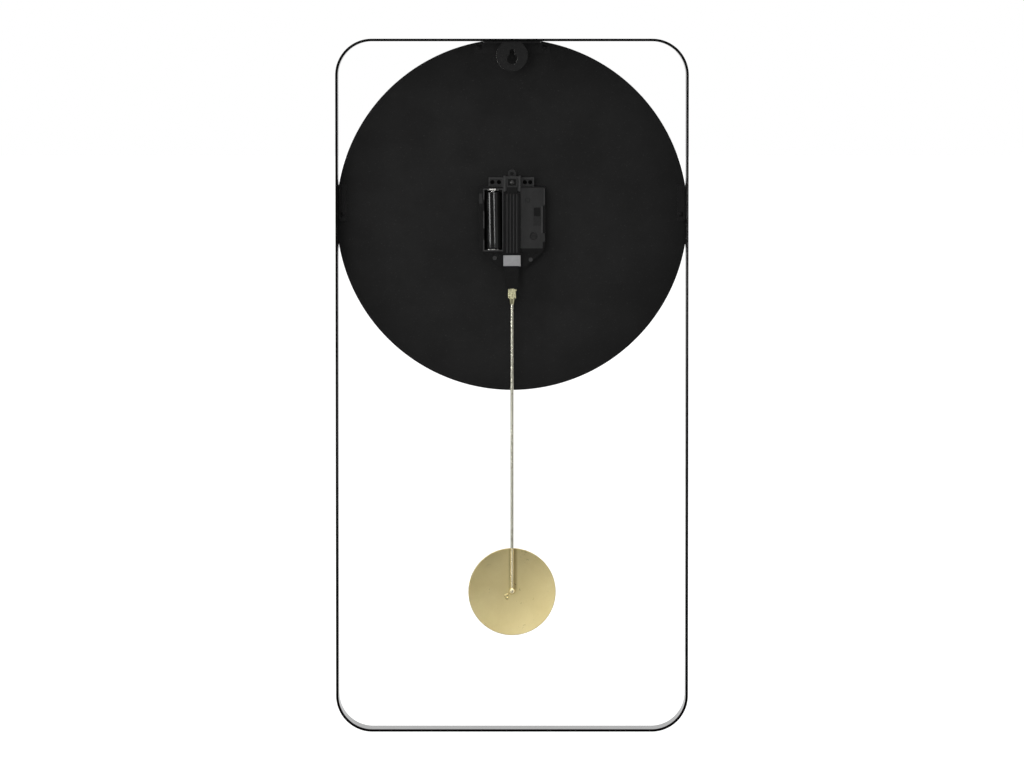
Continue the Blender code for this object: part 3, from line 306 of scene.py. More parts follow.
def make_finishes():
    pale, deep = (0.8, 0.68, 0.35, 1), (0.72, 0.6, 0.29, 1)
    upright = (1, 1, 0.05)
    coat, moulded, metal = make_powder_coat, make_moulded, make_metal
    return {
        "steel": coat("powder_coat_black", grey(0.0072), grey(0.0105), 0.36),
        "dial_back": coat("powder_coat_dial_back", grey(0.009), grey(0.0128), 0.42, ARBOR),
        "dial_front": coat("matte_black_dial", grey(0.006), grey(0.010), 0.56),
        "hoop": make_bar_enamel("gloss_black_bar"),
        "arm": moulded("moulded_black", grey(0.002), grey(0.004), 0.36, 0.12),
        "case": moulded("moulded_case_black", grey(0.0025), grey(0.0045), 0.34, 0.12),
        # A lighter copy of the case moulding: painted light on raised tops, tabs, loop, latch and rib crowns.
        "case_painted_light": moulded("moulded_case_painted_light", grey(0.012), grey(0.018), 0.38),
        # A paler copy of the case moulding: painted highlights on eased edges, rails, rib and boss tops.
        "case_edge_highlight": moulded("moulded_painted_edge_highlight", grey(0.028), grey(0.044), 0.34),
        "knob": moulded("moulded_knob_black", grey(0.007), grey(0.011), 0.36),
        # Near black: painted shade inside the tab sockets.
        "socket": moulded("moulded_painted_socket_shade", grey(0.0006), grey(0.0014), 0.5, 0.03),
        "acetal": moulded("moulded_acetal_white", (0.6, 0.59, 0.54, 1), (0.76, 0.75, 0.71, 1), 0.42),
        "gold": metal("satin_gold", deep, pale, 0.3, upright),
        "gold_bright": metal("polished_gold", (0.78, 0.68, 0.42, 1), (0.88, 0.79, 0.54, 1), 0.2),
        "gold_wire": metal(
            "drawn_gold_wire", (0.42, 0.41, 0.34, 1), (0.47, 0.46, 0.38, 1), 0.28, (1, 1, 0.02), 5200, 0.03
        ),
        "gold_socket": metal(
            "turned_gold_socket", (0.44, 0.42, 0.26, 1), (0.52, 0.5, 0.32, 1), 0.3, upright
        ),
        # A darker gold for the bob's rim.
        "gold_rim": metal("darker_gold_edge", (0.3, 0.23, 0.12, 1), (0.44, 0.35, 0.19, 1), 0.4),
        "gold_flat": metal(
            "brushed_gold_baton", (0.72, 0.56, 0.27, 1), (0.84, 0.69, 0.37, 1), 0.26, (0.05, 1, 1)
        ),
        # The bob's back, with the painted shadow of the wire.
        "gold_spun_rod_shadow": make_spun_gold("spun_gold_sheet_rod_shadow", deep, pale, rod_shadow_depth=0.58),
        "gold_face": make_spun_gold("spun_gold_face", deep, pale),
        "brass": metal("turned_brass", (0.55, 0.38, 0.14, 1), (0.78, 0.6, 0.28, 1), 0.24, (1, 0.05, 1)),
        "black_pin": metal("oxidised_pin", (0.035, 0.035, 0.035, 1), (0.06, 0.06, 0.058, 1), 0.34),
        "nickel": metal("nickel_plate", (0.5, 0.49, 0.46, 1), (0.72, 0.71, 0.69, 1), 0.24, (1, 1, 0.1)),
        "can": metal("cell_steel", (0.6, 0.6, 0.6, 1), (0.8, 0.8, 0.79, 1), 0.2, (1, 1, 0.1)),
        "magnet": metal(
            "ferrite_plate", (0.25, 0.25, 0.254, 1), (0.335, 0.335, 0.34, 1), 0.4, None, 1200, 0.9
        ),
        "wrap": make_wrap("cell_wrap_black"),
        "board": make_board("board_lacquer"),
        "winding_x": make_winding("copper_winding_x", (1, 0.02, 0.02)),
        "winding_y": make_winding("copper_winding_y", (0.02, 1, 0.02)),
    }


finishes = make_finishes()


# ---------------------------------------------------------------- shapes


def ring_faces(rings, around, start=0, closed=False):
    """The four-sided faces between rings of points that follow each other."""
    faces = []
    for ring in range(rings if closed else rings - 1):
        here, there = start + ring * around, start + (ring + 1) % rings * around
        for step in range(around):
            after = (step + 1) % around
            faces.append((here + step, here + after, there + after, there + step))
    return faces


def disc_faces(rings, around):
    """The faces of a disc: a middle point, then rings of points outwards."""
    middle = [(0, 1 + step, 1 + (step + 1) % around) for step in range(around)]
    return middle + [face[::-1] for face in ring_faces(rings, around, start=1)]


def slab(outline, low, high, holes=()):
    """A flat piece: an outline in x and z, with holes, from one depth to another."""
    loops = [outline, *holes]
    flat = [point for loop in loops for point in loop]
    triangles = tessellate_polygon([[Vector((x, 0, z)) for x, z in loop] for loop in loops])
    count = len(flat)
    points = [(x, low, z) for x, z in flat] + [(x, high, z) for x, z in flat]
    faces = [tuple(triangle) for triangle in triangles]
    faces += [tuple(index + count for index in reversed(triangle)) for triangle in triangles]
    start = 0
    for loop in loops:
        for step in range(len(loop)):
            here = start + step
            there = start + (step + 1) % len(loop)
            faces.append((here, there, there + count, here + count))
        start += len(loop)
    return points, faces


def rectangle(left, low, right, high):
    return [(left, low), (right, low), (right, high), (left, high)]


def block(low, high):
    return slab(rectangle(low[0], low[2], high[0], high[2]), low[1], high[1])


def laid(shape):
    """The shape with depth and height swapped: an outline in x and z comes to lie flat."""
    points, faces = shape
    return [(x, z, y) for x, y, z in points], faces


def moved(shape, turn, shift=(0, 0, 0)):
    points, faces = shape
    return [tuple(turn @ Vector(point) + Vector(shift)) for point in points], faces


def turned(profile, centre=(0, 0, 0), axis="Y", steps=48, tube=False):
    """A shape turned about an axis: (radius, height) along the profile, closed on itself for a tube.
    Points on the axis fall together, and mesh_of merges them."""
    points = []
    for radius, height in profile:
        for step in range(steps):
            angle = 2 * pi * (step + 0.5) / steps
            across, up = radius * cos(angle), radius * sin(angle)
            spots = {"X": (height, across, up), "Y": (across, height, up), "Z": (across, up, height)}
            points.append(tuple(Vector(spots[axis]) + Vector(centre)))
    return points, ring_faces(len(profile), steps, closed=tube)


def rod_shape(radius, low, high, centre=(0, 0, 0), axis="Y", steps=48):
    return turned([(0, low), (radius, low), (radius, high), (0, high)], centre, axis, steps)


def dome(radius, base, rise, steps):
    """The profile of a domed head, from its rim to just short of its middle."""
    turns = [pi / 2 * step / steps for step in range(steps)]
    return [(radius * cos(turn), base + rise * sin(turn)) for turn in turns]


def arc(centre, radius, start, end, steps):
    angles = [start + (end - start) * step / steps for step in range(steps + 1)]
    return [(centre[0] + radius * cos(angle), centre[1] + radius * sin(angle)) for angle in angles]


def circle(centre, radius, steps=48):
    return arc(centre, radius, 0, 2 * pi * (steps - 1) / steps, steps - 1)


def rounded(outline, radius, steps=4):
    """The outline with each of its corners, inner or outer, turned to an arc of about this radius."""
    result = []
    for index, point in enumerate(outline):
        here = Vector(point)
        before = Vector(outline[index - 1]) - here
        after = Vector(outline[(index + 1) % len(outline)]) - here
        reach = min(radius, before.length * 0.45, after.length * 0.45)
        start = here + before.normalized() * reach
        end = here + after.normalized() * reach
        for step in range(steps + 1):
            share = step / steps
            curve = start * (1 - share) ** 2 + here * 2 * share * (1 - share) + end * share**2
            result.append(tuple(curve))
    return result


def inset(outline, distance):
    """The outline of a convex shape, drawn anticlockwise, moved inwards."""
    result = []
    for index, point in enumerate(outline):
        here = Vector(point)
        before = (here - Vector(outline[index - 1])).normalized()
        after = (Vector(outline[(index + 1) % len(outline)]) - here).normalized()
        inward = Vector((-before.y, before.x)) + Vector((-after.y, after.x))
        result.append(tuple(here + inward * (distance / (1 + before.dot(after)))))
    return result


def swept(path, radius, steps):
    """A round wire along a smooth path of points, with flat ends."""
    spots = [Vector(point) for point in path]
    points = []
    side = None
    for index, spot in enumerate(spots):
        ahead = spots[min(index + 1, len(spots) - 1)] - spots[max(index - 1, 0)]
        ahead.normalize()
        if side is None:
            side = ahead.orthogonal().normalized()
        side = (side - ahead * side.dot(ahead)).normalized()
        up = ahead.cross(side)
        for step in range(steps):
            angle = 2 * pi * step / steps
            points.append(tuple(spot + (side * cos(angle) + up * sin(angle)) * radius))
    ends = [tuple(reversed(range(steps))), tuple(range(len(points) - steps, len(points)))]
    return points, ring_faces(len(spots), steps) + ends


def merge_points(mesh, distance, dissolve=0.0):
    """Merges points this close in metres. Then clears edges this flat in degrees, or turns faces outwards."""
    shape = bmesh.new()
    shape.from_mesh(mesh)
    bmesh.ops.remove_doubles(shape, verts=shape.verts, dist=distance)
    if dissolve:
        limit = radians(dissolve)
        bmesh.ops.dissolve_limit(shape, angle_limit=limit, verts=shape.verts, edges=shape.edges)
    else:
        bmesh.ops.recalc_face_normals(shape, faces=shape.faces)
    shape.to_mesh(mesh)
    shape.free()


def mesh_of(name, points, faces):
    mesh = bpy.data.meshes.new(name)
    mesh.from_pydata([tuple(Vector(point) * MM) for point in points], [], faces)
    merge_points(mesh, 1e-7)
    return mesh


class Solid:
    """A piece made of joined and cut shapes, in millimetres from its place, then softened at its edges."""

    def __init__(self, name, shape, place=ARBOR):
        self.name = name
        self.place = Vector(place)
        self.obj = add(name, mesh_of(name, *shape))
        self.helpers = []

    def boolean(self, operation, shape):
        helper = add(self.name + "_helper", mesh_of(self.name + "_helper", *shape))
        self.helpers.append(helper)
        modifier = self.obj.modifiers.new(operation.lower(), "BOOLEAN")
        modifier.operation = operation
        modifier.solver = "EXACT"
        modifier.object = helper

    def join(self, shape):
        self.boolean("UNION", shape)

    def cut(self, shape):
        self.boolean("DIFFERENCE", shape)

    def keep(self, shape):
        self.boolean("INTERSECT", shape)

    def settle(self):
        """Turns the modifiers into plain mesh."""
        graph = bpy.context.evaluated_depsgraph_get()
        settled = bpy.data.meshes.new_from_object(
            self.obj.evaluated_get(graph), preserve_all_data_layers=True, depsgraph=graph
        )
        self.obj.modifiers.clear()
        self.obj.data = settled
        for helper in self.helpers:
            bpy.data.objects.remove(helper, do_unlink=True)
        self.helpers = []

    def done(self, finish, body, stands_for=(), edge=0.0, segments=2, angle=32):
        if self.helpers:
            self.settle()
            merge_points(self.obj.data, 4e-6, dissolve=0.6)
        self.obj.data.shade_smooth()
        if edge:
            bevel = self.obj.modifiers.new("soft_edges", "BEVEL")
            bevel.width = edge * MM
            bevel.segments = segments
            bevel.limit_method = "ANGLE"
            bevel.angle_limit = radians(angle)
        else:
            self.obj.data.set_sharp_from_angle(angle=radians(angle))
        even = self.obj.modifiers.new("even_normals", "WEIGHTED_NORMAL")
        even.keep_sharp = True
        self.settle()
        self.obj.data.transform(Matrix.Translation(self.place))
        self.obj.data.materials.clear()
        self.obj.data.materials.append(finishes[finish])
        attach(self.obj, body)
        if stands_for:
            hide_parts(*stands_for)
        return self.obj


FAR = 999.0
FLAT = (0.9, 2)
EASED = (0.2, 0.97)


def within(facing=(-2, 2), **spans):
    """Chooses the faces whose normal has this much of y, and whose middle lies in these spans of x, y and z,
    in millimetres from the arbor."""

    def chosen(spot, normal):
        here = (spot - ARBOR) / MM
        inside = all(low < getattr(here, axis) < high for axis, (low, high) in spans.items())
        return inside and facing[0] < normal.y < facing[1]

    return chosen


def paint_faces(obj, finish, chosen):
    """Gives a second finish to the faces chosen by the place of their middle and their normal."""
    if finishes[finish].name not in obj.data.materials:
        obj.data.materials.append(finishes[finish])
    index = obj.data.materials.find(finishes[finish].name)
    for face in obj.data.polygons:
        if chosen(face.center, face.normal):
            face.material_index = index


# ---------------------------------------------------------------- the hoop, the hanger and the dial


def make_hoop():
    """The bent bar: its section is carried round the four corners."""
    low, high = local_box("frame_hoop", WALL)
    stock, corner, soft, turns = 2.2, 31.5, 0.2, 28
    left, right, bottom, top = low.x + corner, high.x - corner, low.z + corner, high.z - corner
    section = []
    for quarter, (across, depth) in enumerate(((stock, high.y), (0, high.y), (0, low.y), (stock, low.y))):
        centre = (across + (soft if across == 0 else -soft), depth + (soft if depth == low.y else -soft))
        section += arc(centre, soft, pi / 2 * quarter, pi / 2 * (quarter + 1), 4)
    points = []
    for quarter, (x, z) in enumerate(((right, top), (left, top), (left, bottom), (right, bottom))):
        for step in range(turns + 1):
            angle = pi / 2 * (quarter + step / turns)
            for across, depth in section:
                reach = corner - across
                points.append((x + reach * cos(angle), depth, z + reach * sin(angle)))
    faces = ring_faces(len(points) // len(section), len(section), closed=True)
    Solid("hoop_bar", (points, faces), WALL).done("hoop", BODY, ["frame_hoop"], angle=50)


def make_hanger():
    """The keyhole plate under the top bar, folded forwards along its top. Its eased edges carry painted
    highlights, in nickel where they face +X.
    """
    low, high = local_box("hanger_plate", WALL)
    back, top, sheet = high.y, high.z, 1.2
    lobe_radius, lobe_z, neck = 13.5, -5.5, 8.0
    slot_radius, hole_radius, hole_z = 2.2, 4.5, -8.4
    lean = atan2((lobe_radius**2 - neck**2) ** 0.5, neck)
    lobe = arc((0, lobe_z), lobe_radius, pi - lean, 2 * pi + lean, 72)
    plate = Solid("hanger_keyhole_plate", slab(lobe + [(neck, top), (-neck, top)], back - sheet, back), WALL)
    leg = rectangle(-high.x, low.y, high.x, back - 0.4)
    plate.join(laid(slab(rounded(leg, 2.0), top - sheet, top)))
    widen = atan2(slot_radius, (hole_radius**2 - slot_radius**2) ** 0.5)
    keyhole = arc((0, hole_z), hole_radius, pi / 2 + widen, 5 * pi / 2 - widen, 48)
    keyhole += arc((0, -slot_radius), slot_radius, 0, pi, 24)
    plate.cut(slab(keyhole, back - 3 * sheet, back + sheet))
    obj = plate.done("steel", BODY, ["hanger_plate"], edge=0.56, segments=4)
    eased = (0.15, 0.97)
    # Painted highlights on the eased edges; the brightest, in nickel, on those of the plate that face +X.
    paint_faces(obj, "case_edge_highlight", within(eased))
    plate_edge_highlight = within(eased, z=(-FAR, -ARBOR.z / MM))
    paint_faces(obj, "nickel", lambda spot, normal: normal.x > 0.3 and plate_edge_highlight(spot, normal))


def make_stud_head(node, side):
    low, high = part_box(node)
    centre = middle_of(node)
    deep = (high.y - low.y) / MM
    seat = deep - 1.15
    shank, head = 1.4, 2.2
    profile = [(0, 0), (shank, 0), (shank, seat), (head - 0.15, seat), (head, seat + 0.12)]
    profile += [(head, seat + 0.42)] + dome(head, seat + 0.5, 0.65, 6)
    profile += [(0.7, deep - 0.02), (0.55, deep - 0.2), (0, deep - 0.22)]
    stud = Solid(f"stud_{side}", turned(profile, steps=32), (centre.x, low.y, centre.z))
    stud.done("steel", BODY, [node], angle=40)


def make_brackets():
    """The folded brackets that hold the dial in the hoop, and the heads of the studs through them."""
    front, sheet, stud_hole = 0.3, 1.2, 1.6
    low, high = local_box("top_bracket")
    half, top, chamfer = (high.x - low.x) / 2, high.z, 6.0
    fold = half - chamfer
    outline = [(-half, low.z), (half, low.z), (half, top - chamfer), (fold, top), (-fold, top)]
    outline += [(-half, top - chamfer)]
    holes = [circle((x, top - 5.6), stud_hole, 32) for x in (-28.5, 28.5)]
    bracket = Solid("bracket_top", slab(rounded(outline, 1.0), front, front + sheet, holes))
    bracket.join(block((-fold, front + sheet / 2, top - sheet), (fold, high.y, top)))
    bracket.done("steel", BODY, ["top_bracket"], edge=0.3, segments=3)
    for side, way in (("left", -1), ("right", 1)):
        make_stud_head(f"dial_stud_top_{side}", f"top_{side}")
        make_stud_head(f"dial_stud_side_{side}", f"side_{side}")
        node = f"side_bracket_{side}"
        low, high = local_box(node)
        inner, outer = sorted((low.x, high.x), key=abs)
        fold_low, fold_high = sorted((outer, outer - way * sheet))
        outline = rounded(rectangle(low.x, low.z, high.x, high.z), 1.6)
        hole = circle((inner + way * 2.7, 0.6), stud_hole, 32)
        bracket = Solid(f"bracket_{side}", slab(outline, front, front + sheet, [hole]))
        bracket.join(block((fold_low, front + sheet / 2, low.z + 2), (fold_high, high.y, high.z - 2)))
        bracket.done("steel", BODY, [node], edge=0.3, segments=3)


def make_dial():
    low, high = local_box("dial_disc")
    front, soft = low.y, 0.35
    reach = (high.x - low.x) / 2 - soft
    turns = [pi / 2 * (1 - step / 5) for step in range(6)]
    edge = [(reach + soft * cos(turn), soft * sin(turn) - soft) for turn in turns]
    edge += [(radius, front - height) for radius, height in reversed(edge)]
    rings = [5.0, 40, 80, 115, 140]
    profile = [(ring, 0) for ring in rings] + edge + [(ring, front) for ring in reversed(rings)]
    dial = Solid("dial_sheet", turned(profile, steps=288, tube=True))
    obj = dial.done("dial_back", BODY, ["dial_disc"], angle=50)
    paint_faces(obj, "dial_front", within((-2, -0.3)))


def make_markers():
    """Twelve faceted batons, longer and wider at every third hour."""
    back, front, ring_radius = -1.5, -2.3, 131
    for hour in range(1, 13):
        angle = hour * pi / 6
        length, width = (26.0, 4.0) if hour % 3 == 0 else (18.0, 2.6)
        half, tall, roof = width / 2, length / 2, width * 0.22
        foot = rectangle(-half, -tall, half, tall)
        head = rectangle(roof - half, roof - tall, half - roof, tall - roof)
        points = [(x, depth, z) for depth in (back, front + 0.35) for x, z in foot]
        points += [(x, front, z) for x, z in head]
        shape = points, [(0, 1, 2, 3), (11, 10, 9, 8)] + ring_faces(3, 4)
        centre = (ring_radius * sin(angle), 0, ring_radius * cos(angle))
        baton = Solid(f"baton_{hour:02d}", moved(shape, Matrix.Rotation(angle, 3, "Y"), centre))
        baton.done("gold_flat", BODY, [f"hour_marker_{hour:02d}"], edge=0.12)


# ---------------------------------------------------------------- the hands


def make_hand(node, length, half, hub, bore, front, back, angle):
    """A blade with a ridge down its middle, and a round hub."""
    tail = length * 0.16
    stations = [(-tail, half * 0.8), (-tail * 0.5, half * 0.9), (0, half), (length * 0.5, half * 0.74)]
    stations += [(length - half, half * 0.45), (length - half * 0.3, half * 0.16), (length, 0.05)]
    shoulder = front + (back - front) * 0.55
    points = []
    for z, wide in stations:
        points += [(-wide, back, z), (wide, back, z), (wide, shoulder, z), (0, front, z)]
        points.append((-wide, shoulder, z))
    faces = [(4, 3, 2, 1, 0), tuple(range(len(points) - 5, len(points)))] + ring_faces(len(stations), 5)
    low, high = front - 0.1, back + 0.1
    disc = [(0, low), (hub - 0.18, low), (hub - 0.05, low + 0.05), (hub, low + 0.18), (hub, high), (0, high)]
    hand = Solid(node + "_blade", moved((points, faces), Matrix.Rotation(angle, 3, "Y")))
    hand.join(turned(disc, steps=64))
    hand.cut(rod_shape(bore, front - 1, back + 1))
    hand.done("gold_flat", node + "_assembly", [node], edge=0.06)


def make_hands():
    hour = {"length": 78.0, "half": 3.0, "hub": 5.0, "bore": 2.58, "front": -6.8, "back": -6.2}
    minute = {"length": 116.0, "half": 2.3, "hub": 4.0, "bore": 1.73, "front": -8.9, "back": -8.4}
    make_hand("hour_hand", angle=radians(305), **hour)
    make_hand("minute_hand", angle=radians(60), **minute)
    radius, back, rim, front = 2.5, -9.4, -9.62, -11.0
    cap = [(0, back), (radius, back)] + dome(radius, rim, front - rim, 8) + [(0, front)]
    nut = Solid("hand_nut", turned(cap))
    nut.done("gold_bright", "minute_hand_assembly", ["hand_cap"], angle=50)


def threaded_tube(radius, bore, low, high, pitch, depth):
    """A tube with a screw thread on its outside: rings of points up the outside and back down the bore."""
    around = 48
    rows = int((high - low) / (pitch / 6))
    points = []
    for row in range(-1, rows + 2):
        height = low + (high - low) * min(max(row, 0), rows) / rows
        for step in range(around):
            phase = (height / pitch + step / around) % 1
            share = abs(2 * phase - 1) if 1 < row < rows - 1 else 1
            reach = radius - depth * share if 0 <= row <= rows else bore
            angle = 2 * pi * step / around
            points.append((reach * cos(angle), height, reach * sin(angle)))
    return points, ring_faces(rows + 3, around, closed=True)


def make_fixings():
    thread = threaded_tube(radius=4.7, bore=2.58, low=-5.2, high=1.4, pitch=0.7, depth=0.28)
    Solid("bushing_thread", thread).done("brass", BODY, ["threaded_bushing"], angle=60)
    washer = [(4.8, -2.3), (8.35, -2.3), (8.6, -2.1), (8.6, -1.7), (8.35, -1.5), (4.8, -1.5)]
    Solid("washer_ring", turned(washer, tube=True)).done("nickel", BODY, ["mounting_washer"])
    front, back, corner, chamfer = -4.7, -2.6, 8.05, 0.55
    nut = Solid("nut_hexagon", slab(circle((0, 0), 8.0, 6), front, back))
    cone = [(0, front), (6.7, front), (corner, front + chamfer), (corner, back - chamfer), (6.7, back)]
    nut.keep(turned(cone + [(0, back)], steps=96))
    nut.cut(rod_shape(4.8, -6, 0))
    nut.done("brass", BODY, ["mounting_nut"], edge=0.15)


# ---------------------------------------------------------------- the movement

# Depths behind the dial: the joint of the two halves, the low skirt, the cover and the motor box.
SEAM = 9.3
SKIRT_BACK = 12.0
COVER_BACK = 15.0
CASE_BACK = 16.3
CASE_TOP = 24.7
PIVOT_Z = 28.2
PIN_HOLE = 1.08


def case_outline(with_foot):
    right = [(26.8, -31.9), (29.0, -25.0), (29.0, CASE_TOP)]
    left = [(-x, z) for x, z in reversed(right)]
    return right + left + ([(-11.5, -45.5), (11.5, -45.5)] if with_foot else [])


def motor_box(margin):
    inner, wide, slim = -7.3 - margin, -28.5 + margin, -26.6 + margin
    top, step, low, high, bottom = 23.8 - margin, 8.3 + margin, -16.0 - margin, -23.0 + margin, -28.8 + margin
    outline = [(inner, bottom), (inner, top), (wide, top), (wide, step), (slim, step)]
    return outline + [(slim, low), (wide, low), (wide, high), (slim, high), (slim, bottom)]


def make_front_shell():
    """The front half: a shell with clips inside its sides and blind holes for the pivots."""
    shell = Solid("case_front", slab(rounded(case_outline(True), 1.6), 0.3, 9.0))
    shell.cut(slab(rounded(inset(case_outline(True), 1.5), 0.8), 1.5, 10))
    arbor_bore, knob_bore, pivot_bore, clip_x = 4.28, 1.5, 0.7, 28.2
    shell.cut(rod_shape(arbor_bore, -1, 3))
    for x in (-clip_x, clip_x):
        for z in (-18, -4, 10):
            shell.join(block((x - 1.1, 4.6, z - 2.2), (x + 1.1, 8.4, z + 2.2)))
    for name in ("third_wheel", "seconds_wheel", "intermediate_wheel", "rotor", "set_knob"):
        pivot = (middle_of(name) - ARBOR) / MM
        bore = knob_bore if name == "set_knob" else pivot_bore
        shell.cut(rod_shape(bore, 0.7, 3, (pivot.x, 0, pivot.z), steps=24))
    shell.done("case", BODY, ["movement_front_shell"], edge=0.3, segments=3)


def shape_bay(cover):
    """The open bay for the cell, between raised rails, with two finger notches in its outer rail."""
    left, right, low, high, rail = 8.4, 24.0, -30.4, 22.0, 0.9
    cover.join(block((left - rail, 1.8, low - rail), (right + rail, CASE_BACK, high + rail)))
    cover.cut(block((left, 0.8, low), (right, CASE_BACK + 1, high)))
    for z in (-16.5, 8.5):
        notch = rounded(rectangle(right - 1, z - 5, right + 3, z + 5), 1.2)
        cover.cut(slab(notch, COVER_BACK + 0.15, CASE_BACK + 1))


def shape_yoke(cover):
    """The yoke that carries the pendulum, the loop above it, and a framed tab with two sockets each side."""
    cover.join(block((-7.6, SEAM, 21.0), (7.6, CASE_BACK - 0.2, PIVOT_Z + 5.3)))
    for low, high in ((-7.2, -5.7), (5.7, 7.2)):
        cover.join(block((low, CASE_BACK - 1, 20.6), (high, 20.0, PIVOT_Z + 6)))
    loop_z, loop_radius, loop_hole = PIVOT_Z + 7.6, 3.6, 1.7
    cover.join(slab(circle((0, loop_z), loop_radius), 12.0, 13.6))
    cover.cut(rod_shape(loop_hole, 11, 15, (0, 0, loop_z)))
    for left, right, sockets in ((7.9, 20.3, (11.3, 16.9)), (-19.0, -7.9, (-15.8, -11.2))):
        cover.join(slab(rounded(rectangle(left, 23.5, right, 32.5), 1.0), SEAM, SEAM + 1.6))
        for x_low, low, x_high, high in (
            (left, 31.5, right, 32.5), (left, 24, left + 1, 32), (right - 1, 24, right, 32)
        ):
            cover.join(block((x_low, SEAM + 1, low), (x_high, SEAM + 2.6, high)))
        for x in sockets:
            cover.cut(rod_shape(1.8, SEAM + 0.3, SEAM + 3, (x, 0, 28.4)))
    cover.cut(rod_shape(PIN_HOLE, 12.8, CASE_BACK + 1, (0, 0, PIVOT_Z)))


def shape_motor_box(cover, knob):
    """The knob's well, a recess with a deeper end, two raised ribs and the ring of a moulding mark."""
    cover.cut(rod_shape(3.1, CASE_BACK - 3, CASE_BACK + 1, (knob.x, 0, knob.z)))
    cover.cut(slab(rounded(rectangle(-25.0, -9.4, -18.6, 7.0), 0.8), CASE_BACK - 0.7, CASE_BACK + 1))
    cover.cut(slab(rounded(rectangle(-24.5, -1.0, -19.1, 6.4), 0.6), CASE_BACK - 0.95, CASE_BACK + 1))
    cover.join(block((-26.5, CASE_BACK - 1, -15.4), (-25.5, CASE_BACK + 0.2, 7.8)))
    cover.join(block((-28.3, CASE_BACK - 1, 9.0), (-27.5, CASE_BACK + 0.2, 23.2)))
    mark = rectangle(1.3, CASE_BACK - 0.6, 2.4, CASE_BACK + 1)
    cover.cut(turned(mark, (-13.6, 0, 12.9), tube=True))


def shape_skirt(cover):
    """Sound slots and two bosses in the low skirt, and a latch on the cover's side."""
    for x in (10.6, 14.4, 18.2, 22.0, -14.5, -18.5, -22.5):
        cover.cut(block((x - 0.6, SKIRT_BACK - 0.9, -37.4 + abs(x) * 0.2), (x + 0.6, SKIRT_BACK + 2, -32.6)))
    for x, z in ((15.0, -37.2), (-16.2, -38.6)):
        cover.join(rod_shape(1.8, SKIRT_BACK - 1, SKIRT_BACK + 0.9, (x, 0, z), steps=32))
    cover.join(block((25.7, COVER_BACK - 1, 10.0), (28.5, COVER_BACK + 0.5, 18.5)))


def paint_cover(obj):
    """Painted highlights on edges, ribs and bosses, painted light on the motor box, tabs, loop and latch,
    painted shade in the sockets, and on the recess floor a darker tone than the box top.
    """
    motor_side, bay_side, flank = (-FAR, -7.0), (7.4, FAR), (25.3, FAR)
    crest, shaded_recess, ribs = (CASE_BACK - 0.45, FAR), (CASE_BACK - 0.75, FAR), (CASE_BACK + 0.1, FAR)
    tab_floor, tab_rim = SEAM + 0.6, SEAM + 2.4
    tabs, loop = CASE_TOP + 0.2, PIVOT_Z + 4.5
    # Painted highlights on the eased edges.
    paint_faces(obj, "case_edge_highlight", within(EASED, z=(-FAR, tabs)))
    paint_faces(obj, "case_edge_highlight", within(EASED, y=(tab_rim, FAR)))
    # The recess floor takes the knob's tone, darker than the painted light on the box top: painted shade.
    paint_faces(obj, "knob", within(FLAT, x=motor_side, y=shaded_recess))
    # Painted light on the motor box's top.
    paint_faces(obj, "case_painted_light", within(FLAT, x=motor_side, y=crest))
    # Painted highlights on the bosses' tops.
    paint_faces(obj, "case_edge_highlight", within(FLAT, y=(SKIRT_BACK + 0.6, FAR), z=(-FAR, -34)))
    # Painted light on the latch.
    paint_faces(obj, "case_painted_light", within(FLAT, x=flank, y=(COVER_BACK + 0.3, FAR)))
    # Painted shade in the tabs' sockets.
    paint_faces(obj, "socket", within(y=(-FAR, tab_floor), z=(tabs, FAR)))
    # Painted light on the loop and on the tabs' faces.
    paint_faces(obj, "case_painted_light", within((0.2, 2), y=(-FAR, 14), z=(loop, FAR)))
    paint_faces(obj, "case_painted_light", within(FLAT, y=(tab_floor, tab_rim), z=(tabs, FAR)))
    # Painted highlights on the bay rails, the motor box ribs and the yoke tops.
    paint_faces(obj, "case_edge_highlight", within(FLAT, x=bay_side, y=crest))
    paint_faces(obj, "case_edge_highlight", within(FLAT, x=motor_side, y=ribs))
    paint_faces(obj, "case_edge_highlight", within(FLAT, y=(tab_rim, FAR), z=(tabs, loop)))


def make_back_cover():
    upper = inset(case_outline(False), 0.2)
    wall = 1.5
    knob = (middle_of("set_knob") - ARBOR) / MM
    cover = Solid("case_back", slab(rounded(case_outline(True), 1.6), SEAM, SKIRT_BACK))
    cover.join(slab(rounded(upper, 1.4), SKIRT_BACK - 1, COVER_BACK))
    cover.join(slab(rounded(motor_box(0), 0.6), COVER_BACK - 1, CASE_BACK))
    cover.cut(slab(inset(case_outline(True), wall), SEAM - 1, SKIRT_BACK - 1.2))
    cover.cut(slab(inset(upper, wall), SEAM - 2, COVER_BACK - wall))
    cover.cut(slab(motor_box(wall), SEAM - 3, CASE_BACK - 1.4))
    shape_bay(cover)
    shape_yoke(cover)
    shape_motor_box(cover, knob)
    shape_skirt(cover)
    paint_cover(cover.done("case", BODY, ["movement_back_cover"], edge=0.5, segments=3))

    radius, foot, top, notches = 2.92, 14.8, CASE_BACK + 0.15, 20
    profile = [(0, foot), (radius, foot), (radius, CASE_BACK - 0.1), (2.7, top), (0, top)]
    grip = Solid("knob_grip", turned(profile, steps=60), ARBOR + Vector((knob.x, 0, knob.z)) * MM)
    for x, z in circle((0, 0), radius + 0.06, notches):
        grip.cut(rod_shape(0.22, 14, 18, (x, 0, z), steps=8))
    grip.cut(block((-2.1, CASE_BACK - 0.45, -0.45), (2.1, CASE_BACK + 1, 0.45)))
    grip.done("knob", "set_knob_assembly", [], edge=0.06, segments=1)


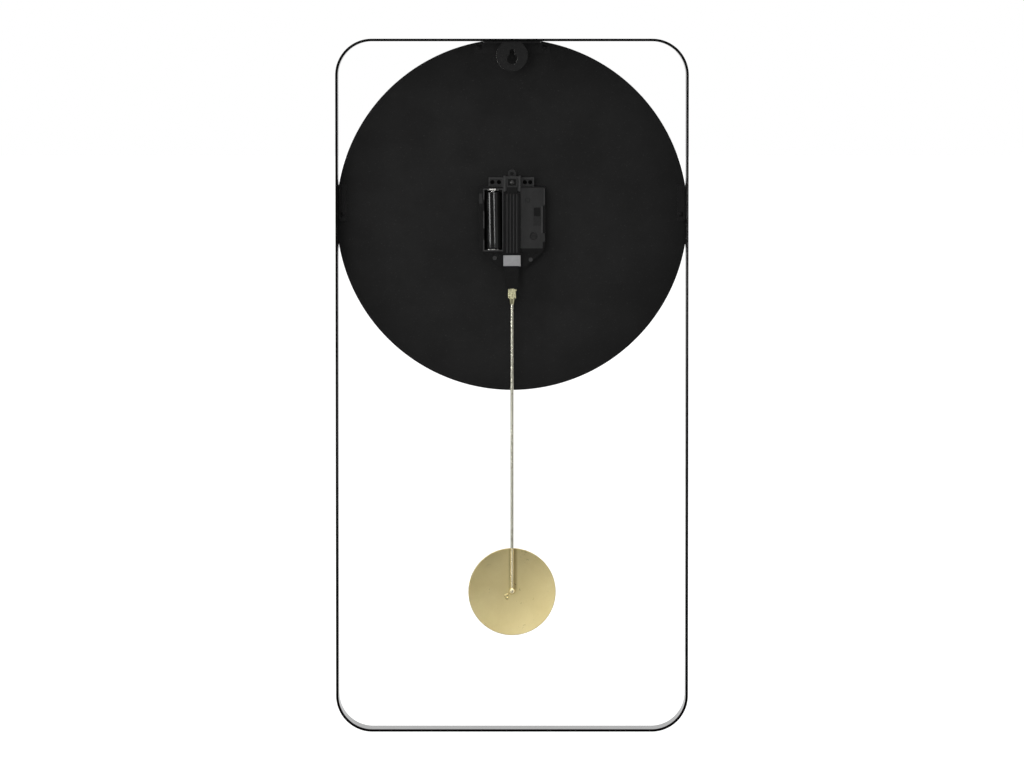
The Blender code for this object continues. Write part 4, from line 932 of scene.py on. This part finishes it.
def make_pin():
    low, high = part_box("pivot_pin")
    centre = middle_of("pivot_pin")
    deep = (high.y - low.y) / MM
    seat, head = deep - 1.0, 1.9
    profile = [(0, 0), (0.85, 0), (1.0, 0.15), (1.0, seat), (head - 0.15, seat), (head, seat + 0.15)]
    profile += [(head, seat + 0.4)] + dome(head, seat + 0.45, 0.55, 6)[1:] + [(0, deep)]
    pin = Solid("pivot_rivet", turned(profile, steps=40), (centre.x, low.y, centre.z))
    pin.done("black_pin", BODY, ["pivot_pin"], angle=40)


def make_battery():
    """A cell in a plain wrap, bare at both ends, that leans a little in its bay."""
    low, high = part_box("battery")
    centre = middle_of("battery")
    radius, tall = 7.25, (high.z - low.z) / MM
    shoulder = tall - 1.2
    profile = [(0, 0.25), (4.6, 0.25), (4.9, 0), (6.1, 0), (6.5, 0.25), (6.75, 0.12), (7.05, 0.2)]
    profile += [(radius, height) for height in (0.5, 6, 16, 32, shoulder - 0.6)] + [(7.1, shoulder - 0.2)]
    profile += [(6.8, shoulder - 0.05), (6.45, shoulder - 0.15), (6.2, shoulder - 0.45)]
    profile += [(4.2, shoulder - 0.45), (3.4, shoulder - 0.1), (2.75, shoulder), (2.75, tall - 0.35)]
    profile += [(2.6, tall - 0.1), (2.3, tall), (0, tall)]
    middle, lean = Vector((0, 0, tall / 2)), Matrix.Rotation(radians(1.0), 3, "Y")
    shape = moved(turned(profile, axis="Z", steps=64), lean, middle - lean @ middle)
    cell = Solid("cell", shape, (centre.x, centre.y, low.z))
    obj = cell.done("wrap", "battery_cell", ["battery"], angle=50)

    def is_bare(spot, normal):
        reach, height = (spot - centre).xy.length / MM, (spot.z - low.z) / MM
        return height > shoulder + 0.15 or reach < 6.5 and not 0.3 < height < shoulder - 0.3

    paint_faces(obj, "can", is_bare)


def make_contacts():
    """The plus contact, folded over the bay's top rail, and the minus contact with its spring."""
    low, high = local_box("battery_contact_plus")
    x = (low.x + high.x) / 2
    strip = rounded(rectangle(x - 5.0, low.y, x + 5.0, high.y), 1.0)
    plus = Solid("contact_plus", laid(slab(strip, low.z, high.z)))
    lip_left, lip_right, fold = x - 2.1, x + 3.3, CASE_BACK + 0.05
    plus.join(block((lip_left, high.y - 1, low.z), (lip_right, fold + 0.3, high.z)))
    plus.join(block((lip_left, fold, low.z), (lip_right, fold + 0.3, high.z + 1.0)))
    plus.done("nickel", BODY, ["battery_contact_plus"], edge=0.08)
    low, high = local_box("battery_contact_minus")
    seat = low.z + 0.4
    plate = Solid("contact_minus", laid(slab(strip, low.z, seat)))
    plate.done("nickel", BODY, ["battery_contact_minus"], edge=0.08)
    axis = (middle_of("battery") - ARBOR) / MM
    turns, steps, wire = 2.5, 60, 0.22
    rise = high.z - seat - 2 * wire
    path = []
    for step in range(steps + 1):
        share = step / steps
        angle = 2 * pi * turns * share
        radius = 3.4 - 1.3 * share
        path.append((axis.x + radius * cos(angle), axis.y + radius * sin(angle), seat + wire + rise * share))
    Solid("contact_spring", swept(path, wire, 8)).done("nickel", BODY, [], angle=60)


# ---------------------------------------------------------------- the pendulum

# The cross pin that the rod hooks on: its depth, and its height from the pivot pin.
HOOK_BACK = 16.4
HOOK_Z = -87.2


def make_arm():
    """The ribbed strip from its pin down to the fork that carries the rod, and the magnet on its tray."""
    place = ARBOR + Vector((0, 0, PIVOT_Z)) * MM
    front, back = 17.0, 19.0
    strip_half, strip_top, strip_low = 6.9, -9.0, -61.6
    fork_top, fork_low, fork_front, fork_back = -81.7, -91.6, 14.0, 20.2
    strip = rounded(rectangle(-strip_half, strip_low, strip_half, strip_top), 1.5)
    arm = Solid("arm_strip", slab(strip, front, back), place)
    arm.join(slab([(-4.7, -9.6), (4.7, -9.6), (4.3, -1), (-4.3, -1)], front + 0.1, back - 0.1))
    arm.join(rod_shape(3.45, front - 0.1, back + 0.2))
    arm.cut(rod_shape(PIN_HOLE, front - 1, back + 1))
    arm.join(block((-4.9, front, -3.9), (4.9, back + 0.3, 4.2)))
    arm.cut(block((-3.5, back - 0.8, -2.7), (3.5, back + 1, 3.1)))
    arm.cut(rod_shape(PIN_HOLE, front - 1, back + 1))
    for x in (-4.2, -1.4, 1.4, 4.2):
        arm.join(rod_shape(0.72, strip_low + 0.9, strip_top - 0.9, (x, back - 0.12, 0), axis="Z", steps=24))
    tray_half, tray_low = 8.1, -73.2
    tray = rounded(rectangle(-tray_half, tray_low, tray_half, strip_low + 0.5), 0.8)
    arm.join(slab(tray, front + 0.05, front + 0.9))
    arm.join(block((-5.8, fork_front, fork_top - 1), (5.8, fork_back, tray_low + 0.6)))
    for low, high in ((-5.8, -2.2), (2.2, 5.8)):
        arm.join(block((low, fork_front, fork_low), (high, fork_back, fork_top)))
    arm.join(block((-4.8, 19.2, fork_low), (4.8, 20.5, fork_top)))
    arm.join(rod_shape(0.9, -4.8, 4.8, (0, HOOK_BACK, HOOK_Z), axis="X", steps=32))
    obj = arm.done("arm", ARM, ["pendulum_arm"], edge=0.25)
    # The rib crowns take the lighter moulding: painted highlights down the ribs.
    ribs = within((0.3, 2), y=(back + 0.08, FAR), z=(PIVOT_Z + tray_low + 0.5, FAR))
    paint_faces(obj, "case_painted_light", ribs)
    low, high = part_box("arm_magnet")
    magnet = Solid("magnet_plate", block((0, 0, 0), (high - low) / MM), low)
    magnet.done("magnet", ARM, ["arm_magnet"], edge=0.35, segments=3)


def make_rod():
    """The socket that hooks on the arm, the wire down from it, and the ball that joins it to the bob."""
    bob_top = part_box("bob")[1].z
    rod_low, rod_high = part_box("pendulum_rod")
    rod = middle_of("pendulum_rod")
    hook = ARBOR + Vector((0, HOOK_BACK, PIVOT_Z + HOOK_Z)) * MM
    rod_y = (rod.y - hook.y) / MM
    radius, bore = 1.4, 1.48
    joint = Solid("rod_socket", block((-3.35, -1.2, -12.8), (3.35, rod_y + 1.3, -5.1)), hook)
    joint.join(block((-1.8, -0.95, -6.1), (1.8, 0.95, -1.2)))
    joint.join(rod_shape(2.2, -1.8, 1.8, axis="X", steps=40))
    joint.cut(rod_shape(0.98, -3, 3, axis="X", steps=32))
    taper = [(0, -18.2), (1.6, -18.2), (1.75, -18.0), (2.15, -15.8), (2.6, -13.6), (2.7, -12.4), (0, -12.4)]
    joint.join(turned(taper, (0, rod_y, 0), axis="Z", steps=40))
    joint.cut(rod_shape(bore, -19.6, -14.0, (0, rod_y, 0), axis="Z", steps=32))
    joint.done("gold_socket", ROD, ["rod_connector"], edge=0.3, segments=3)

    length = (rod_high.z - rod_low.z) / MM
    heights = (0.15, (bob_top - rod_low.z) / MM, length - 0.15)
    profile = [(0, 0), (radius - 0.15, 0)] + [(radius, height) for height in heights]
    profile += [(radius - 0.15, length), (0, length)]
    wire = Solid("rod_wire", turned(profile, axis="Z", steps=32), (rod.x, rod.y, rod_low.z))
    obj = wire.done("gold_wire", ROD, ["pendulum_rod"], angle=40)
    # Below the bob's top the wire takes the brighter polished gold: a painted highlight.
    paint_faces(obj, "gold_bright", lambda spot, normal: spot.z < bob_top)

    ball_radius, steps = 2.9, 20
    turns = [pi * step / steps for step in range(1, steps)]
    ball = [(0, -ball_radius)] + [(ball_radius * sin(t), -ball_radius * cos(t)) for t in turns]
    shape = turned(ball + [(0, ball_radius)], axis="Z", steps=40)
    boss = Solid("boss_ball", shape, (rod.x, rod.y, middle_of("bob_boss").z))
    boss.cut(block((-4, -5, -4), (4, -2.5, 4)))
    boss.cut(rod_shape(bore, -0.7, 4, axis="Z", steps=32))
    boss.done("gold_bright", ROD, ["bob_boss"], edge=0.08)


def make_bob():
    """A thin plate with a shallow dish and a rolled edge; the wire's painted shadow is on its back only."""
    low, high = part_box("bob")
    bob = (low + high) / 2
    radius = (high.x - low.x) / 2 / MM
    sheet, dish, rim = 1.0, 1.2, 0.45
    edge = (high.y - low.y) / MM
    middle = edge - dish
    shares = (0, 0.08, 0.2, 0.35, 0.5, 0.65, 0.8, 0.9, 0.96)
    turns = (0.4, 0.8, 1.2, pi / 2)
    back = [(radius * share, middle + dish * share * share) for share in shares]
    back += [(radius - rim, edge - 0.02)]
    back += [(radius - rim + rim * sin(t), edge - rim + rim * cos(t)) for t in turns]
    front = [(radius - rim + rim * sin(t), edge - sheet + rim - rim * cos(t)) for t in reversed(turns)]
    front += [(radius * share, middle - sheet + dish * share * share) for share in reversed(shares)]
    plate = Solid("bob_plate", turned(back + front, steps=192), (bob.x, low.y, bob.z))
    # The back carries the painted shadow of the wire.
    obj = plate.done("gold_spun_rod_shadow", ROD, ["bob"], angle=50)
    # The plate's rim takes a darker gold than its faces.
    paint_faces(obj, "gold_rim", within((-0.75, 0.75)))
    # The front: the same gold, without the painted shadow.
    paint_faces(obj, "gold_face", within((-2, -0.75)))


def make_solder():
    """The small run of solder beside the boss, where the wire was fixed to the plate."""
    bob = middle_of("bob")
    rings, around = 8, 28
    wide, tall, thick, dent = 2.5, 3.0, 0.8, 0.35
    points = [(0, thick - dent, 0)]
    for ring in range(1, rings + 1):
        share = ring / rings
        height = thick * (1 - share**2) ** 0.6 if share < 1 else -0.3
        height -= dent * max(0.0, 1 - (share / 0.45) ** 2)
        for step in range(around):
            angle = 2 * pi * step / around
            wobble = share * (1 + 0.12 * sin(3 * angle + 0.7) + 0.07 * sin(5 * angle))
            points.append((wide * wobble * cos(angle), height, tall * wobble * sin(angle)))
    faces = disc_faces(rings, around) + [tuple(range(len(points) - around, len(points)))]
    spot = (bob.x + 4.4 * MM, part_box("bob")[0].y + 1.02 * MM, bob.z - 4.3 * MM)
    Solid("solder_run", (points, faces), spot).done("gold", ROD, [], angle=60)


# ---------------------------------------------------------------- the inner CAD pieces that stay


def finish_inner_nodes():
    finish_of = {
        "set_knob": "arm",
        "cannon_pinion": "brass",
        "stator": "nickel",
        "crystal_can": "can",
        "motor_coil": "winding_x",
        "drive_coil": "winding_y",
        "circuit_board": "board",
        "rotor": "magnet",
    }
    wheels = ("minute_wheel", "hour_wheel", "setting_idler", "centre_wheel", "third_wheel", "seconds_wheel")
    for name in wheels + ("intermediate_wheel", "train_bridge"):
        finish_of[name] = "acetal"
    for name, finish in finish_of.items():
        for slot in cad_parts[name].material_slots:
            slot.material = finishes[finish]


# ---------------------------------------------------------------- stage, light and camera


def make_floor():
    """A wide pale disc below the clock, bright enough to show as plain white."""
    finish = Finish("pale_floor", Specular_IOR_Level=0.2, Emission_Color=WHITE, Emission_Strength=0.88)
    drift = finish.noise(0.7, 4, 0.6)
    colour = finish.mix(finish.remap(drift, 0.3, 0.7, 0, 1), grey(0.18), grey(0.2))
    finish.bump(finish.noise(160, 3, 0.5), 0.0003, 0.15)
    material = finish.end(colour, finish.remap(drift, 0.3, 0.7, 0.6, 0.75))
    rings, around, drop = [0.6, 1.5, 4, 12, 40], 64, 0.22
    points = [(0, 0, 0)] + [(x, z, 0) for radius in rings for x, z in circle((0, 0), radius, around)]
    mesh = bpy.data.meshes.new("floor")
    mesh.from_pydata(points, [], disc_faces(len(rings), around))
    mesh.materials.append(material)
    floor = add("floor", mesh)
    floor.location = (0, 0, cad_low.z - drop)
    floor.visible_glossy = False
    floor.visible_diffuse = False


def aim(obj, place, target):
    obj.location = place
    obj.rotation_euler = (Vector(target) - Vector(place)).to_track_quat("-Z", "Y").to_euler()


def make_world():
    """White as the camera sees it. As the object sees it, white round the sides and dark towards the wall's
    side, where the camera stands."""
    world = bpy.data.worlds.new("studio")
    world.use_nodes = True
    world.node_tree.nodes.clear()
    sky = Nodes(world.node_tree, "Generated")
    split = sky.node("ShaderNodeSeparateXYZ", {0: sky.place})
    total = 0.0
    ramps = (("Y", 0.15, 0.92, 0.95, 0.12), ("Z", 0.1, 0.9, 0.0, 0.35), ("X", -0.2, -0.9, 0.0, 0.35))
    for axis, *ramp in ramps:
        total = sky.maths("ADD", total, sky.remap(split.outputs[axis], *ramp))
    soft = sky.node("ShaderNodeBackground", {"Color": WHITE, "Strength": total})
    white = sky.node("ShaderNodeBackground", {"Color": WHITE, "Strength": 1.0})
    seen = sky.node("ShaderNodeLightPath").outputs["Is Camera Ray"]
    mix = sky.node("ShaderNodeMixShader", {0: seen, 1: soft.outputs[0], 2: white.outputs[0]})
    sky.node("ShaderNodeOutputWorld", {"Surface": mix.outputs[0]})
    bpy.context.scene.world = world


def make_light(name, place, target, size, power, lit=None):
    data = bpy.data.lights.new(name, "AREA")
    data.shape = "RECTANGLE"
    data.size, data.size_y = size
    data.energy = power
    light = add(name, data)
    aim(light, place, target)
    light.visible_camera = False
    if lit:
        light.light_linking.receiver_collection = lit


def make_lights():
    """Soft panels; two of them light only the cell, for the two long highlights down it."""
    middle = (0, 0, (cad_low.z + cad_high.z) / 2)
    battery = ARBOR + Vector((16.2, 10, 0)) * MM
    cell_only, all_but_cell = [bpy.data.collections.new(name) for name in ("cell_only", "all_but_cell")]
    for group in (cell_only, all_but_cell):
        group.objects.link(bpy.data.objects["cell"])
    all_but_cell.collection_objects[0].light_linking.link_state = "EXCLUDE"
    make_light("overhead", (0, 0.4, 2.6), middle, (3.0, 3.0), 40)
    make_light("upper_left", (1.2, 3.84, 0.1), middle, (1.6, 1.6), 27, all_but_cell)
    make_light("upper_near", (0.1, 3.84, 0.9), middle, (1.6, 1.2), 6)
    make_light("side", (2.5, 1.7, -0.24), battery, (0.14, 0.5), 9, all_but_cell)
    make_light("near", (-0.38, 3.84, -0.26), battery, (0.05, 0.36), 2.4, all_but_cell)
    make_light("cell_side", (2.4, 2.05, -0.1), battery, (0.7, 0.5), 21, cell_only)
    make_light("cell_near", (-1.0, 3.75, -0.1), battery, (0.7, 0.4), 16, cell_only)
    make_light("front_soft", (-1.8, -2.6, 1.2), middle, (1.6, 1.6), 20)


def make_camera():
    data = bpy.data.cameras.new("camera")
    data.sensor_width = 36.0
    data.lens = 224.0
    data.clip_end = 200.0
    camera = add("camera", data)
    aim(camera, (0, 5.5, 0.007), (0, 0, -0.2895))
    bpy.context.scene.camera = camera


make_hoop()
make_hanger()
make_brackets()
make_dial()
make_markers()
make_hands()
make_fixings()
make_front_shell()
make_back_cover()
make_pin()
make_battery()
make_contacts()
make_arm()
make_rod()
make_bob()
make_solder()
finish_inner_nodes()
make_floor()
make_world()
make_lights()
make_camera()
bpy.context.scene.view_settings.view_transform = "Standard"
